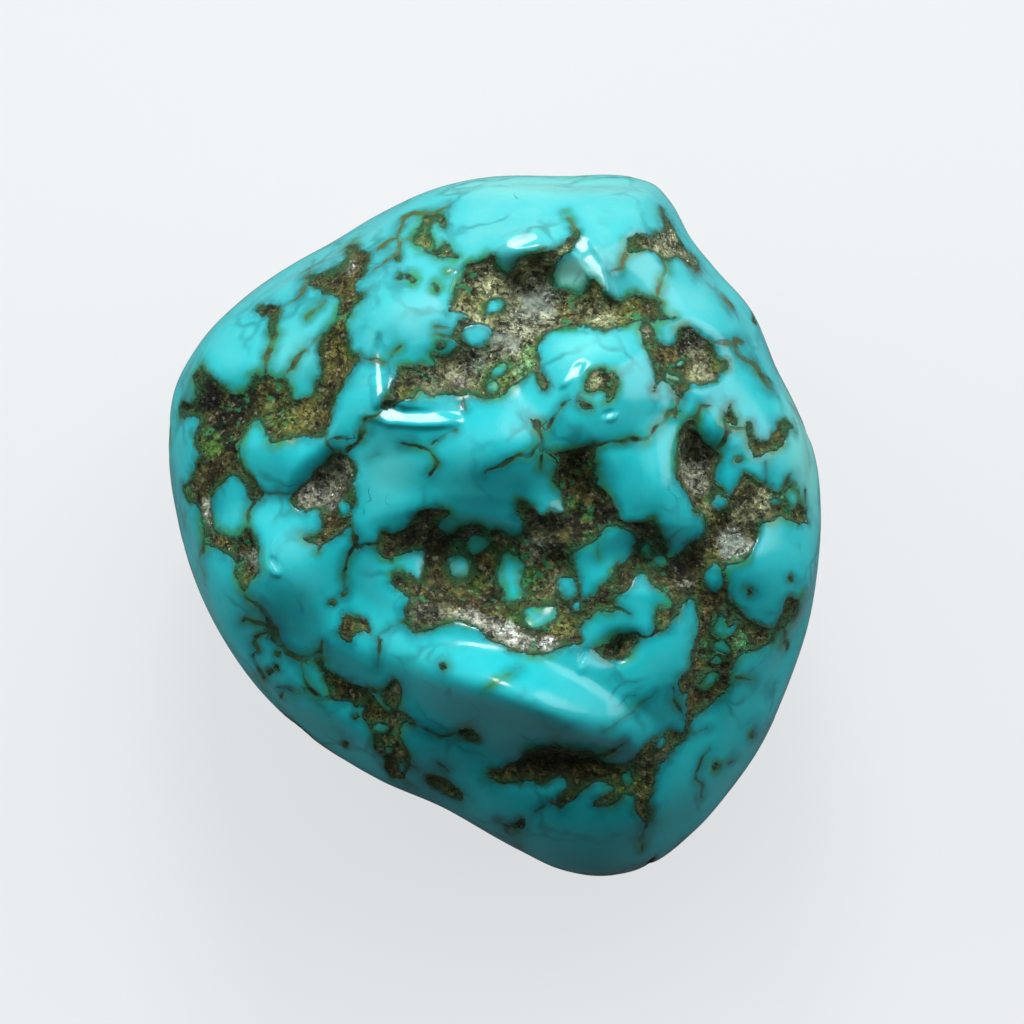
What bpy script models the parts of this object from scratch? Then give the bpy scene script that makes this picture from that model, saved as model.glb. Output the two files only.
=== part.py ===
"""Raw turquoise nugget: one tumbled stone, lying on its back on a small worn flat.

Metres, +Z up. The origin is on the surface that the stone rests on, under the middle of
its box. +Z points out of the show face, and +Y to the stone's broad crown.
"""
import bmesh
import bpy
import numpy as np

# ---------------------------------------------------------------- driving dimensions (mm)
MM = 0.001

FACE_RISE = 9.0          # from the girdle up to the top of the plain show face
BACK_DROP = 10.6         # from the girdle down to the bottom of the plain back
FACE_FULLNESS = 2.35     # 2 is an ellipse in section, more is boxier
BACK_FULLNESS = 2.15
FOOT_CUT = 0.85          # depth of stone worn away from the back to make the resting flat
FACE_LEAN = (0.5, 3.2)   # how far the top of the face sits off the middle, x and y
BACK_LEAN = (0.55, -0.35)
GIRDLE_WAVE = 0.9        # how far the widest line wanders up and down

WEAR_DEPTH = 0.13        # how uneven the tumbling left the skin
WEAR_LENGTH = (4.5, 10.0)  # shortest and longest wave of that unevenness
WEAR_WAVES = 14
WEAR_SEED = 5

SPHERE_LEVEL = 6         # subdivisions of the starting ball
FACES_KEPT = 0.435       # share of the ball's triangles that stays after decimation
WELD = 0.00005           # metres; slivers shorter than this at the flat's rim are closed up

# The outline seen from above, anticlockwise from +X. The stone is convex but for the small
# notch of the corner groove at (8.4, 12.4).
OUTLINE = (
    (14.0, 0.6), (13.75, 3.0), (13.0, 5.0), (12.1, 6.8), (11.0, 9.3), (9.4, 11.15),
    (8.4, 12.4), (7.5, 14.0), (6.9, 14.65), (6.1, 14.95), (3.0, 15.05), (-0.6, 14.95),
    (-2.8, 14.4), (-5.0, 13.4), (-7.0, 12.2), (-8.8, 11.2), (-10.9, 9.7), (-12.7, 7.8),
    (-13.7, 6.0), (-14.0, 3.6), (-13.6, 0.2), (-12.5, -3.2), (-11.6, -4.9), (-10.1, -7.0),
    (-7.9, -9.05), (-5.0, -10.85), (-1.9, -12.25), (1.1, -13.95), (2.8, -14.75), (4.6, -15.05),
    (6.6, -14.6), (8.6, -13.1), (10.1, -11.4), (11.3, -9.7), (12.7, -6.6), (13.5, -4.1),
    (13.9, -1.5),
)

# Lumps and hollows: centre x and y, half length, half width, turn of the length from +X in
# degrees, height (minus for a hollow), and edge, the share of the radius that its flank takes.
FACE_RELIEF = {
    "crown crest": (1.4, 12.0, 5.0, 1.5, 0, 0.7, 1.0),
    "crown hollow": (2.2, 9.9, 5.0, 1.9, -4, -1.0, 0.9),
    "crown spur": (4.3, 11.0, 2.2, 0.9, -62, 0.4, 1.0),
    "upper west shelf": (-4.2, 9.4, 3.6, 3.6, 0, 0.6, 1.0),
    "knuckle": (-3.9, 5.2, 3.0, 2.3, 20, 0.8, 1.0),
    "upper ledge": (0.4, 3.4, 6.4, 2.8, 2, 1.3, 1.0),
    "boss": (4.4, 6.0, 3.4, 3.0, 0, 1.3, 0.8),
    "west arm": (-2.2, 6.6, 3.0, 1.3, 8, -0.5, 1.0),
    "middle wall": (-0.4, -1.0, 6.0, 2.4, -4, -1.1, 1.0),
    "middle hollow": (-0.6, -1.9, 6.2, 2.5, -10, -1.3, 0.9),
    "deep hollow": (3.3, 1.8, 2.0, 3.2, 24, -0.9, 1.0),
    "east hollow": (7.0, -1.4, 3.6, 1.6, 4, -0.7, 1.0),
    "lower bulge": (1.0, -6.4, 6.8, 3.6, -18, 1.4, 1.0),
    "south brow": (1.2, -7.6, 7.4, 2.2, -20, 2.2, 1.0),
    "east body": (7.0, 1.4, 1.9, 3.6, 8, 0.8, 1.0),
    "oval pit": (8.8, 2.8, 1.4, 2.4, 5, -0.8, 1.0),
    "east pit": (8.5, 7.2, 2.0, 1.6, -20, -0.6, 1.0),
    "east knob": (9.3, 4.2, 1.1, 1.2, 0, 0.3, 1.0),
    "east lump": (11.5, -2.0, 3.2, 3.0, 0, 0.9, 1.0),
    "quartz pocket": (10.2, -0.4, 1.9, 1.4, 30, -0.6, 1.0),
    "east gully": (9.0, -5.6, 1.3, 4.5, 3, -0.6, 1.0),
    "south east ridge": (7.0, -6.4, 2.0, 4.2, -18, 0.5, 1.0),
    "small pit": (5.2, -5.1, 1.6, 1.0, 20, -0.4, 1.0),
    "west lump": (-9.8, -2.0, 4.0, 3.4, 0, 1.3, 1.0),
    "north west lump": (-9.0, 3.0, 2.6, 2.2, 0, 0.5, 1.0),
    "river": (-7.0, 6.6, 5.4, 1.5, 68, -0.7, 1.0),
    "river pit": (-7.2, 2.0, 2.2, 1.4, 45, -0.7, 1.0),
    "west band": (-10.8, 5.2, 3.8, 2.0, 15, -0.9, 1.0),
    "west hole": (-10.7, -1.2, 1.1, 1.7, 0, -0.6, 1.0),
    "south west gully": (-6.2, -7.0, 4.6, 1.4, -38, -0.6, 1.0),
    "south west fall": (-5.2, -3.0, 3.2, 2.4, -35, -0.8, 1.0),
    "south hollow": (3.0, -10.3, 4.8, 1.5, -2, -0.7, 1.0),
    "corner groove": (8.0, 12.3, 2.8, 1.3, -52, -0.7, 1.0),
}
BACK_RELIEF = {
    "north ridge": (-3.0, 9.5, 7.0, 3.6, 12, 0.9, 1.0),
    "north east flat": (8.2, 7.6, 5.2, 4.2, -40, -0.9, 1.0),
    "west flat": (-10.0, 1.0, 3.6, 5.6, 10, -0.8, 1.0),
    "south west lump": (-6.0, -5.6, 4.6, 3.2, -35, 0.8, 1.0),
    "south east lump": (7.6, -8.0, 4.2, 4.8, 20, 0.7, 1.0),
    "east pit": (10.0, 0.2, 1.9, 1.4, 50, -0.8, 0.8),
    "west pit": (-8.2, 5.6, 2.2, 1.2, 20, -0.8, 0.8),
    "north pit": (2.2, 11.0, 2.6, 1.1, -10, -0.7, 0.8),
    "south gully": (0.5, -9.6, 4.8, 1.1, -24, -0.6, 1.0),
}

TURQUOISE = (0.035, 0.55, 0.58, 1.0)
POLISH_ROUGHNESS = 0.15


# ---------------------------------------------------------------- shape rules
def smooth_step(t):
    """0 below 0, 1 above 1, and t * t * (3 - 2 t) between."""
    t = np.clip(t, 0.0, 1.0)
    return t * t * (3.0 - 2.0 * t)


def outline_radius(azimuth):
    """Distance from the middle to the outline, a closed cubic curve through its points.

    Between two points the radius follows the Hermite cubic, whose slope at each point is
    that of the line between its neighbours.
    """
    points = np.array(OUTLINE)
    angle = np.arctan2(points[:, 1], points[:, 0]) % (2.0 * np.pi)
    order = np.argsort(angle)
    angle, radius = angle[order], np.hypot(points[order, 0], points[order, 1])
    angle = np.concatenate([angle[-2:] - 2.0 * np.pi, angle, angle[:2] + 2.0 * np.pi])
    radius = np.concatenate([radius[-2:], radius, radius[:2]])
    slope = np.gradient(radius, angle)
    azimuth = azimuth % (2.0 * np.pi)
    right = np.clip(np.searchsorted(angle, azimuth), 1, len(angle) - 1)
    left = right - 1
    span = angle[right] - angle[left]
    t = (azimuth - angle[left]) / span
    step = smooth_step(t)
    leave = t * (1.0 - t) ** 2
    arrive = t * t * (t - 1.0)
    along = radius[left] * (1.0 - step) + radius[right] * step
    return along + span * (slope[left] * leave + slope[right] * arrive)


def relief(x, y, features):
    """Sum of the named lumps and hollows at plan points x, y: height * smooth_step(d)."""
    total = np.zeros_like(x)
    for centre_x, centre_y, half_long, half_short, turn, height, edge in features.values():
        c, s = np.cos(np.radians(turn)), np.sin(np.radians(turn))
        along = ((x - centre_x) * c + (y - centre_y) * s) / half_long
        across = ((y - centre_y) * c - (x - centre_x) * s) / half_short
        total += height * smooth_step((1.0 - np.hypot(along, across)) / edge)
    return total


def wear(points):
    """Gentle unevenness: slow cosine waves that run in random directions through space."""
    source = np.random.default_rng(WEAR_SEED)
    total = np.zeros(len(points))
    for _ in range(WEAR_WAVES):
        heading = source.normal(size=3)
        heading /= np.linalg.norm(heading)
        turns = points @ heading / source.uniform(*WEAR_LENGTH)
        total += np.cos(2.0 * np.pi * (turns + source.uniform()))
    return WEAR_DEPTH * total / np.sqrt(WEAR_WAVES / 2.0)


def skin(direction):
    """Point of the stone's skin for each unit direction.

    In plan the radius is outline * cos(latitude) ** (2 / fullness), in height it is
    rise * sin(latitude) ** (2 / fullness), above the girdle and below it alike. Relief and
    wear fade out at the girdle, so the outline stays as it is drawn.
    """
    azimuth = np.arctan2(direction[:, 1], direction[:, 0])
    level = np.hypot(direction[:, 0], direction[:, 1])
    up = direction[:, 2]
    face = up >= 0.0
    power = 2.0 / np.where(face, FACE_FULLNESS, BACK_FULLNESS)
    radius = outline_radius(azimuth) * level ** power
    x = radius * np.cos(azimuth) + np.where(face, FACE_LEAN[0], BACK_LEAN[0]) * up ** 2
    y = radius * np.sin(azimuth) + np.where(face, FACE_LEAN[1], BACK_LEAN[1]) * up ** 2
    depth = np.where(face, FACE_RISE, -BACK_DROP) * np.abs(up) ** power
    girdle = GIRDLE_WAVE * level ** 2 * (np.sin(2.0 * azimuth + 0.6) + 0.5 * np.cos(3.0 * azimuth))
    on_face = smooth_step(up / 0.3) * relief(x, y, FACE_RELIEF)
    on_back = smooth_step(-up / 0.3) * relief(x, y, BACK_RELIEF)
    points = np.stack([x, y, depth + girdle + on_face - on_back], axis=1)
    points += (smooth_step(np.abs(up) / 0.3) * wear(points))[:, None] * direction
    return points


# ---------------------------------------------------------------- modelling
def fresh_collection(name):
    """Clear the scene's objects and add a collection for the stone."""
    for old in list(bpy.data.objects):
        bpy.data.objects.remove(old, do_unlink=True)
    collection = bpy.data.collections.new(name)
    bpy.context.scene.collection.children.link(collection)
    return collection


def stone_material():
    """Polished blue-green stone."""
    material = bpy.data.materials.new("polished_turquoise")
    material.use_nodes = True
    shader = material.node_tree.nodes["Principled BSDF"]
    shader.inputs["Base Color"].default_value = TURQUOISE
    shader.inputs["Roughness"].default_value = POLISH_ROUGHNESS
    shader.inputs["Metallic"].default_value = 0.0
    material.diffuse_color = TURQUOISE
    return material


def shaped_ball():
    """A fine ball pushed out to the stone's skin, in metres."""
    ball = bmesh.new()
    bmesh.ops.create_icosphere(ball, subdivisions=SPHERE_LEVEL, radius=1.0)
    direction = np.array([vertex.co[:] for vertex in ball.verts])
    direction /= np.linalg.norm(direction, axis=1)[:, None]
    for vertex, place in zip(ball.verts, skin(direction) * MM):
        vertex.co = place
    mesh = bpy.data.meshes.new("nugget_ball")
    ball.to_mesh(mesh)
    ball.free()
    return mesh


def thinned(mesh, collection):
    """The same shape with fewer triangles, by a Decimate modifier that is applied."""
    guide = bpy.data.objects.new("nugget_guide", mesh)
    collection.objects.link(guide)
    modifier = guide.modifiers.new("thin", "DECIMATE")
    modifier.ratio = FACES_KEPT
    graph = bpy.context.evaluated_depsgraph_get()
    thin = bpy.data.meshes.new_from_object(guide.evaluated_get(graph))
    bpy.data.objects.remove(guide)
    return thin


def cut_foot(mesh):
    """Wear the bottom of the back down to one flat, and stand it on z = 0 by its box."""
    stone = bmesh.new()
    stone.from_mesh(mesh)
    lowest = min(vertex.co.z for vertex in stone.verts)
    level = lowest + FOOT_CUT * MM
    cut = bmesh.ops.bisect_plane(
        stone, geom=stone.verts[:] + stone.edges[:] + stone.faces[:], dist=1e-7,
        plane_co=(0.0, 0.0, level), plane_no=(0.0, 0.0, 1.0), clear_inner=True,
    )
    rim = [item for item in cut["geom_cut"] if isinstance(item, bmesh.types.BMEdge)]
    bmesh.ops.edgeloop_fill(stone, edges=rim)
    bmesh.ops.remove_doubles(stone, verts=stone.verts, dist=WELD)
    bmesh.ops.triangulate(stone, faces=stone.faces)
    bmesh.ops.recalc_face_normals(stone, faces=stone.faces)
    corners = np.array([vertex.co[:] for vertex in stone.verts])
    middle = 0.5 * (corners.min(axis=0) + corners.max(axis=0))
    bmesh.ops.translate(stone, verts=stone.verts, vec=(-middle[0], -middle[1], -level))
    stone.to_mesh(mesh)
    stone.free()


def make_nugget():
    """Build the stone as one closed body named nugget."""
    collection = fresh_collection("raw_turquoise_nugget")
    mesh = thinned(shaped_ball(), collection)
    cut_foot(mesh)
    mesh.name = "nugget"
    mesh.materials.clear()
    mesh.materials.append(stone_material())
    mesh.shade_smooth()
    nugget = bpy.data.objects.new("nugget", mesh)
    collection.objects.link(nugget)
    print("nugget:", len(mesh.polygons), "triangles, size in mm:",
          [round(side / MM, 2) for side in nugget.dimensions])


make_nugget()
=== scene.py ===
# %% [markdown]
# # A tumbled turquoise nugget, dressed in its matrix
#
# The solid part gives this stone its place, its size and its outline. This lesson gives it
# the look: blue-green nodules with a wax polish, and between them the matrix, which is the
# brown, grey and mossy host rock that the turquoise grew in. Everything is in metres in the
# scene, but stone carvers think in millimetres, so the shapes are worked out in millimetres
# and scaled once, at the end.

import bmesh
import bpy
import numpy as np
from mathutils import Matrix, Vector


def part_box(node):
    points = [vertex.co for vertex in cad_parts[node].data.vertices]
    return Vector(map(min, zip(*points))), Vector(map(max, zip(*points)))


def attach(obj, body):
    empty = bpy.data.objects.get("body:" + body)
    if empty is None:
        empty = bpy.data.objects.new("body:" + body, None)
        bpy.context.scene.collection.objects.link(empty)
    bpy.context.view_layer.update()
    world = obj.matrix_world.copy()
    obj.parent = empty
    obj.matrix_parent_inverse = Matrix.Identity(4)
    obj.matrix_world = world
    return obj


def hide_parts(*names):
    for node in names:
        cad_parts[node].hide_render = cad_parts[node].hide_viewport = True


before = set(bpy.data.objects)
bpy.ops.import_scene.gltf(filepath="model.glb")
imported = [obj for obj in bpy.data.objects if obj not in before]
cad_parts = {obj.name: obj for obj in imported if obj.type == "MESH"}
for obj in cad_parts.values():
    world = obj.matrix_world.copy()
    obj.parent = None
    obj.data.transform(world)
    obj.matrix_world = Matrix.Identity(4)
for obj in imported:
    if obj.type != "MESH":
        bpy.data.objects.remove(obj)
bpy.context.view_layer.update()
STONE_BOX = np.array(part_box("nugget"))
MM = 0.001
print("stone box in mm:", np.round(STONE_BOX / MM, 2).tolist())

# %% [markdown]
# ## The plain skin
#
# A tumbled nugget has no corners, so its skin can be written as one function of a direction:
# walk from the middle of the stone that way, and the function says where the skin is. A
# sculpted mesh would do as well, but then the solid and the dressed stone could drift apart.
# The same formula and the same named lumps in both keep them together.

# %% Driving sizes of the skin, in millimetres
FACE_RISE = 9.0          # height of the face above the girdle, the stone's widest line
BACK_DROP = 10.6         # and of the back below it
FACE_FULLNESS = 2.35     # 2 is an ellipsoid, and more is boxier
BACK_FULLNESS = 2.15
FOOT_CUT = 0.85          # taken off the back, as the flat that the stone rests on
FACE_LEAN = (0.5, 3.2)   # how far the top of the face is moved, in x and y
BACK_LEAN = (0.55, -0.35)
GIRDLE_WAVE = 0.9        # height of the girdle's ups and downs
GIRDLE_TURN = 0.6        # radians by which the girdle's wave is turned
GIRDLE_FADE = 0.3        # height share, up from the girdle, over which relief and wear come in
WEAR_DEPTH = 0.13
WEAR_LENGTH = (4.5, 10.0)    # of its waves, from the shortest to the longest
WEAR_WAVES = 14
WEAR_SEED = 5

# The outline seen from above, anticlockwise from +X.
OUTLINE = (
    (14.0, 0.6), (13.75, 3.0), (13.0, 5.0), (12.1, 6.8), (11.0, 9.3), (9.4, 11.15),
    (8.4, 12.4), (7.5, 14.0), (6.9, 14.65), (6.1, 14.95), (3.0, 15.05), (-0.6, 14.95),
    (-2.8, 14.4), (-5.0, 13.4), (-7.0, 12.2), (-8.8, 11.2), (-10.9, 9.7), (-12.7, 7.8),
    (-13.7, 6.0), (-14.0, 3.6), (-13.6, 0.2), (-12.5, -3.2), (-11.6, -4.9), (-10.1, -7.0),
    (-7.9, -9.05), (-5.0, -10.85), (-1.9, -12.25), (1.1, -13.95), (2.8, -14.75), (4.6, -15.05),
    (6.6, -14.6), (8.6, -13.1), (10.1, -11.4), (11.3, -9.7), (12.7, -6.6), (13.5, -4.1),
    (13.9, -1.5),
)

# %% [markdown]
# Lumps and hollows are what the tumbler left of the broken surface. Each one is an oval with
# a height, and a soft step from its rim to its middle. The numbers are its centre x and y,
# half length, half width, the turn of its length in degrees, its height, and how much of the
# radius its flank takes.

# %% Named lumps and hollows
FACE_RELIEF = {
    "crown crest": (1.4, 12.0, 5.0, 1.5, 0, 0.7, 1.0),
    "crown hollow": (2.2, 9.9, 5.0, 1.9, -4, -1.0, 0.9),
    "crown spur": (4.3, 11.0, 2.2, 0.9, -62, 0.4, 1.0),
    "upper west shelf": (-4.2, 9.4, 3.6, 3.6, 0, 0.6, 1.0),
    "knuckle": (-3.9, 5.2, 3.0, 2.3, 20, 0.8, 1.0),
    "upper ledge": (0.4, 3.4, 6.4, 2.8, 2, 1.3, 1.0),
    "boss": (4.4, 6.0, 3.4, 3.0, 0, 1.3, 0.8),
    "west arm": (-2.2, 6.6, 3.0, 1.3, 8, -0.5, 1.0),
    "middle wall": (-0.4, -1.0, 6.0, 2.4, -4, -1.1, 1.0),
    "middle hollow": (-0.6, -1.9, 6.2, 2.5, -10, -1.3, 0.9),
    "deep hollow": (3.3, 1.8, 2.0, 3.2, 24, -0.9, 1.0),
    "east hollow": (7.0, -1.4, 3.6, 1.6, 4, -0.7, 1.0),
    "lower bulge": (1.0, -6.4, 6.8, 3.6, -18, 1.4, 1.0),
    "south brow": (1.2, -7.6, 7.4, 2.2, -20, 2.2, 1.0),
    "east body": (7.0, 1.4, 1.9, 3.6, 8, 0.8, 1.0),
    "oval pit": (8.8, 2.8, 1.4, 2.4, 5, -0.8, 1.0),
    "east pit": (8.5, 7.2, 2.0, 1.6, -20, -0.6, 1.0),
    "east knob": (9.3, 4.2, 1.1, 1.2, 0, 0.3, 1.0),
    "east lump": (11.5, -2.0, 3.2, 3.0, 0, 0.9, 1.0),
    "quartz pocket": (10.2, -0.4, 1.9, 1.4, 30, -0.6, 1.0),
    "east gully": (9.0, -5.6, 1.3, 4.5, 3, -0.6, 1.0),
    "south east ridge": (7.0, -6.4, 2.0, 4.2, -18, 0.5, 1.0),
    "small pit": (5.2, -5.1, 1.6, 1.0, 20, -0.4, 1.0),
    "west lump": (-9.8, -2.0, 4.0, 3.4, 0, 1.3, 1.0),
    "north west lump": (-9.0, 3.0, 2.6, 2.2, 0, 0.5, 1.0),
    "river": (-7.0, 6.6, 5.4, 1.5, 68, -0.7, 1.0),
    "river pit": (-7.2, 2.0, 2.2, 1.4, 45, -0.7, 1.0),
    "west band": (-10.8, 5.2, 3.8, 2.0, 15, -0.9, 1.0),
    "west hole": (-10.7, -1.2, 1.1, 1.7, 0, -0.6, 1.0),
    "south west gully": (-6.2, -7.0, 4.6, 1.4, -38, -0.6, 1.0),
    "south west fall": (-5.2, -3.0, 3.2, 2.4, -35, -0.8, 1.0),
    "south hollow": (3.0, -10.3, 4.8, 1.5, -2, -0.7, 1.0),
    "corner groove": (8.0, 12.3, 2.8, 1.3, -52, -0.7, 1.0),
}
BACK_RELIEF = {
    "north ridge": (-3.0, 9.5, 7.0, 3.6, 12, 0.9, 1.0),
    "north east flat": (8.2, 7.6, 5.2, 4.2, -40, -0.9, 1.0),
    "west flat": (-10.0, 1.0, 3.6, 5.6, 10, -0.8, 1.0),
    "south west lump": (-6.0, -5.6, 4.6, 3.2, -35, 0.8, 1.0),
    "south east lump": (7.6, -8.0, 4.2, 4.8, 20, 0.7, 1.0),
    "east pit": (10.0, 0.2, 1.9, 1.4, 50, -0.8, 0.8),
    "west pit": (-8.2, 5.6, 2.2, 1.2, 20, -0.8, 0.8),
    "north pit": (2.2, 11.0, 2.6, 1.1, -10, -0.7, 0.8),
    "south gully": (0.5, -9.6, 4.8, 1.1, -24, -0.6, 1.0),
}
print(len(FACE_RELIEF) + len(BACK_RELIEF), "lumps and hollows")


# %% The skin as a function of direction
def smooth_step(t):
    """0 below 0, 1 above 1, and t * t * (3 - 2 t) between."""
    t = np.clip(t, 0.0, 1.0)
    return t * t * (3.0 - 2.0 * t)


def outline_radius(azimuth):
    """Distance from the middle to the outline: a closed cubic curve through its points.

    Between two points the radius follows the Hermite cubic, whose slope at each point is
    that of the line between its neighbours.
    """
    points = np.array(OUTLINE)
    angle = np.arctan2(points[:, 1], points[:, 0]) % (2.0 * np.pi)
    order = np.argsort(angle)
    angle, radius = angle[order], np.hypot(points[order, 0], points[order, 1])
    angle = np.concatenate([angle[-2:] - 2.0 * np.pi, angle, angle[:2] + 2.0 * np.pi])
    radius = np.concatenate([radius[-2:], radius, radius[:2]])
    slope = np.gradient(radius, angle)
    azimuth = azimuth % (2.0 * np.pi)
    right = np.clip(np.searchsorted(angle, azimuth), 1, len(angle) - 1)
    left = right - 1
    span = angle[right] - angle[left]
    t = (azimuth - angle[left]) / span
    step = smooth_step(t)
    along = radius[left] * (1.0 - step) + radius[right] * step
    leave, arrive = t * (1.0 - t) ** 2, t * t * (t - 1.0)
    return along + span * (slope[left] * leave + slope[right] * arrive)


def oval_radii(x, y, centre_x, centre_y, half_long, half_short, turn):
    """Distance from an oval's middle, counted in its radii: 0 in the middle, 1 on the rim.

    The offset is turned to the oval's own axes, and each part divided by its half length.
    """
    c, s = np.cos(np.radians(turn)), np.sin(np.radians(turn))
    along = ((x - centre_x) * c + (y - centre_y) * s) / half_long
    across = ((y - centre_y) * c - (x - centre_x) * s) / half_short
    return np.hypot(along, across)


def ovals(x, y, features):
    """Sum over the ovals of height * smooth_step((1 - distance in radii) / flank)."""
    total = np.zeros_like(x)
    for *oval, height, flank in features.values():
        total += height * smooth_step((1.0 - oval_radii(x, y, *oval)) / flank)
    return total


def wear(points):
    """Gentle unevenness: slow cosine waves that run in random directions through space."""
    source = np.random.default_rng(WEAR_SEED)
    total = np.zeros(len(points))
    for _ in range(WEAR_WAVES):
        heading = source.normal(size=3)
        heading /= np.linalg.norm(heading)
        turns = points @ heading / source.uniform(*WEAR_LENGTH)
        total += np.cos(2.0 * np.pi * (turns + source.uniform()))
    return WEAR_DEPTH * total / np.sqrt(WEAR_WAVES / 2.0)


def skin(direction):
    """Point of the skin for each unit direction, in millimetres from the stone's middle.

    In plan the radius is outline * cos(latitude) ** (2 / fullness), in height it is
    rise * sin(latitude) ** (2 / fullness). The girdle goes up and down in a slow wave, and
    relief and wear fade out there.
    """
    azimuth = np.arctan2(direction[:, 1], direction[:, 0])
    level = np.hypot(direction[:, 0], direction[:, 1])
    up = direction[:, 2]
    face = up >= 0.0
    power = 2.0 / np.where(face, FACE_FULLNESS, BACK_FULLNESS)
    radius = outline_radius(azimuth) * level ** power
    x = radius * np.cos(azimuth) + np.where(face, FACE_LEAN[0], BACK_LEAN[0]) * up ** 2
    y = radius * np.sin(azimuth) + np.where(face, FACE_LEAN[1], BACK_LEAN[1]) * up ** 2
    depth = np.where(face, FACE_RISE, -BACK_DROP) * np.abs(up) ** power
    wave = np.sin(2.0 * azimuth + GIRDLE_TURN) + 0.5 * np.cos(3.0 * azimuth)
    girdle = GIRDLE_WAVE * level ** 2 * wave
    on_face = smooth_step(up / GIRDLE_FADE) * ovals(x, y, FACE_RELIEF)
    on_back = smooth_step(-up / GIRDLE_FADE) * ovals(x, y, BACK_RELIEF)
    points = np.stack([x, y, depth + girdle + on_face - on_back], axis=1)
    points += (smooth_step(np.abs(up) / GIRDLE_FADE) * wear(points))[:, None] * direction
    return points


# %% [markdown]
# ## The net of the skin
#
# A ball of latitude and longitude rings would pinch at its poles, right in the middle of the
# show face. Instead a square net is bent into a round one: ring k of the square becomes ring
# k of a disc. Two such discs, a fine one for the face and a coarser one for the back, meet at
# the girdle, where a strip of triangles joins every second point of the fine rim to the
# coarse one. The rings are spread so that they lie close together where the eye looks.

# %% Two bent nets and the strip between them
FACE_CELLS = 280
BACK_CELLS = 140
HALF_WIDTH = 14.5            # of the stone, for spreading the rings
FACE_STEPS = (0.11, 0.2)     # wanted ring spacing in mm, at the pole and at the girdle
BACK_STEPS = (0.42, 0.17)
INNER_SHARE = 0.7            # of the half width, out to where the pole's spacing holds
WALK_STOPS = 4000


def latitude_of_ring(fullness, tall, steps):
    """Table of ring share 0..1 to latitude, by walking down the meridian.

    The wanted step changes from the pole's to the girdle's, and the ring number is the
    length walked divided by that step.
    """
    latitude = np.linspace(np.pi / 2.0, 0.0, WALK_STOPS)
    out = HALF_WIDTH * np.cos(latitude) ** (2.0 / fullness)
    high = tall * np.sin(latitude) ** (2.0 / fullness)
    walked = np.hypot(np.diff(out), np.diff(high))
    share = 0.5 * (out[1:] + out[:-1]) / HALF_WIDTH
    change = smooth_step((share - INNER_SHARE) / (1.0 - INNER_SHARE))
    wanted = steps[0] + (steps[1] - steps[0]) * change
    rings = np.concatenate([[0.0], np.cumsum(walked / wanted)])
    return rings / rings[-1], latitude


def unit_direction(climb, turn, side):
    """Unit direction at a latitude and an azimuth: side +1 is the face, -1 the back.

    Level it is cos(latitude) times the azimuth's cosine and sine, and up it is sin(latitude).
    """
    parts = [np.cos(climb) * np.cos(turn), np.cos(climb) * np.sin(turn), side * np.sin(climb)]
    return np.stack(np.broadcast_arrays(*parts), axis=-1)


def bent_net(cells, rings, latitude, side):
    """Directions of a square net bent into a cap.

    The ring of a cell is the larger of its two coordinates, and the smaller one over the
    larger gives the share of an eighth turn from the middle of that side of the square.
    """
    line = np.linspace(-1.0, 1.0, cells + 1)
    a, b = np.meshgrid(line, line)
    ring = np.maximum(np.abs(a), np.abs(b))
    safe = np.where(ring == 0.0, 1.0, ring)
    off_x, off_y = b / safe * np.pi / 4.0, a / safe * np.pi / 4.0
    turn = np.where(
        np.abs(a) >= np.abs(b),
        np.where(a < 0.0, np.pi - off_x, off_x),
        np.where(b < 0.0, off_y - np.pi / 2.0, np.pi / 2.0 - off_y),
    )
    return unit_direction(np.interp(ring, rings, latitude), turn, side).reshape(-1, 3)


def net_numbers(cells, first):
    """Point numbers of a net, counted from first, row by row."""
    return first + np.arange((cells + 1) ** 2).reshape(cells + 1, cells + 1)


def net_triangles(cells, first):
    """Two triangles for each cell, counted from first and anticlockwise in the plane.

    A cell is cut along the diagonal that points to the net's middle, because a bent cell on
    the square's own diagonal has no width the other way.
    """
    number = net_numbers(cells, first)
    a, b, c, d = number[:-1, :-1], number[:-1, 1:], number[1:, 1:], number[1:, :-1]
    half = np.arange(cells) < cells // 2
    rising = (half[:, None] == half[None, :])[..., None]
    lower = np.where(rising, np.stack([a, b, c], axis=-1), np.stack([a, b, d], axis=-1))
    upper = np.where(rising, np.stack([a, c, d], axis=-1), np.stack([b, c, d], axis=-1))
    return np.concatenate([lower.reshape(-1, 3), upper.reshape(-1, 3)])


def net_rim(cells, first):
    """Point numbers once round the net's rim, anticlockwise from its lower left corner."""
    number = net_numbers(cells, first)
    return np.concatenate([number[0, :-1], number[:-1, -1], number[-1, :0:-1], number[:0:-1, 0]])


def whole_net():
    """Directions and triangles of the closed net: the face, the back and the joining strip.

    The back's rim would lie on the face's rim, so it is first moved half a ring down.
    """
    face = bent_net(FACE_CELLS, *latitude_of_ring(FACE_FULLNESS, FACE_RISE, FACE_STEPS), 1)
    rings, latitude = latitude_of_ring(BACK_FULLNESS, BACK_DROP, BACK_STEPS)
    back = bent_net(BACK_CELLS, rings, latitude, -1)
    inside = len(face)
    rim = net_rim(BACK_CELLS, 0)
    turn = np.arctan2(back[rim, 1], back[rim, 0])
    back[rim] = unit_direction(np.interp(1.0 - 1.0 / BACK_CELLS, rings, latitude), turn, -1)
    outer, inner = net_rim(FACE_CELLS, 0), net_rim(BACK_CELLS, inside)
    near, middle, far = outer[0::2], outer[1::2], np.roll(outer[0::2], -1)
    beyond = np.roll(inner, -1)
    strip = np.concatenate([
        np.stack([inner, middle, near], axis=1),
        np.stack([inner, beyond, middle], axis=1),
        np.stack([beyond, far, middle], axis=1),
    ])
    caps = [net_triangles(FACE_CELLS, 0), net_triangles(BACK_CELLS, inside)[:, ::-1]]
    return np.concatenate([face, back]), np.concatenate([*caps, strip])


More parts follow.
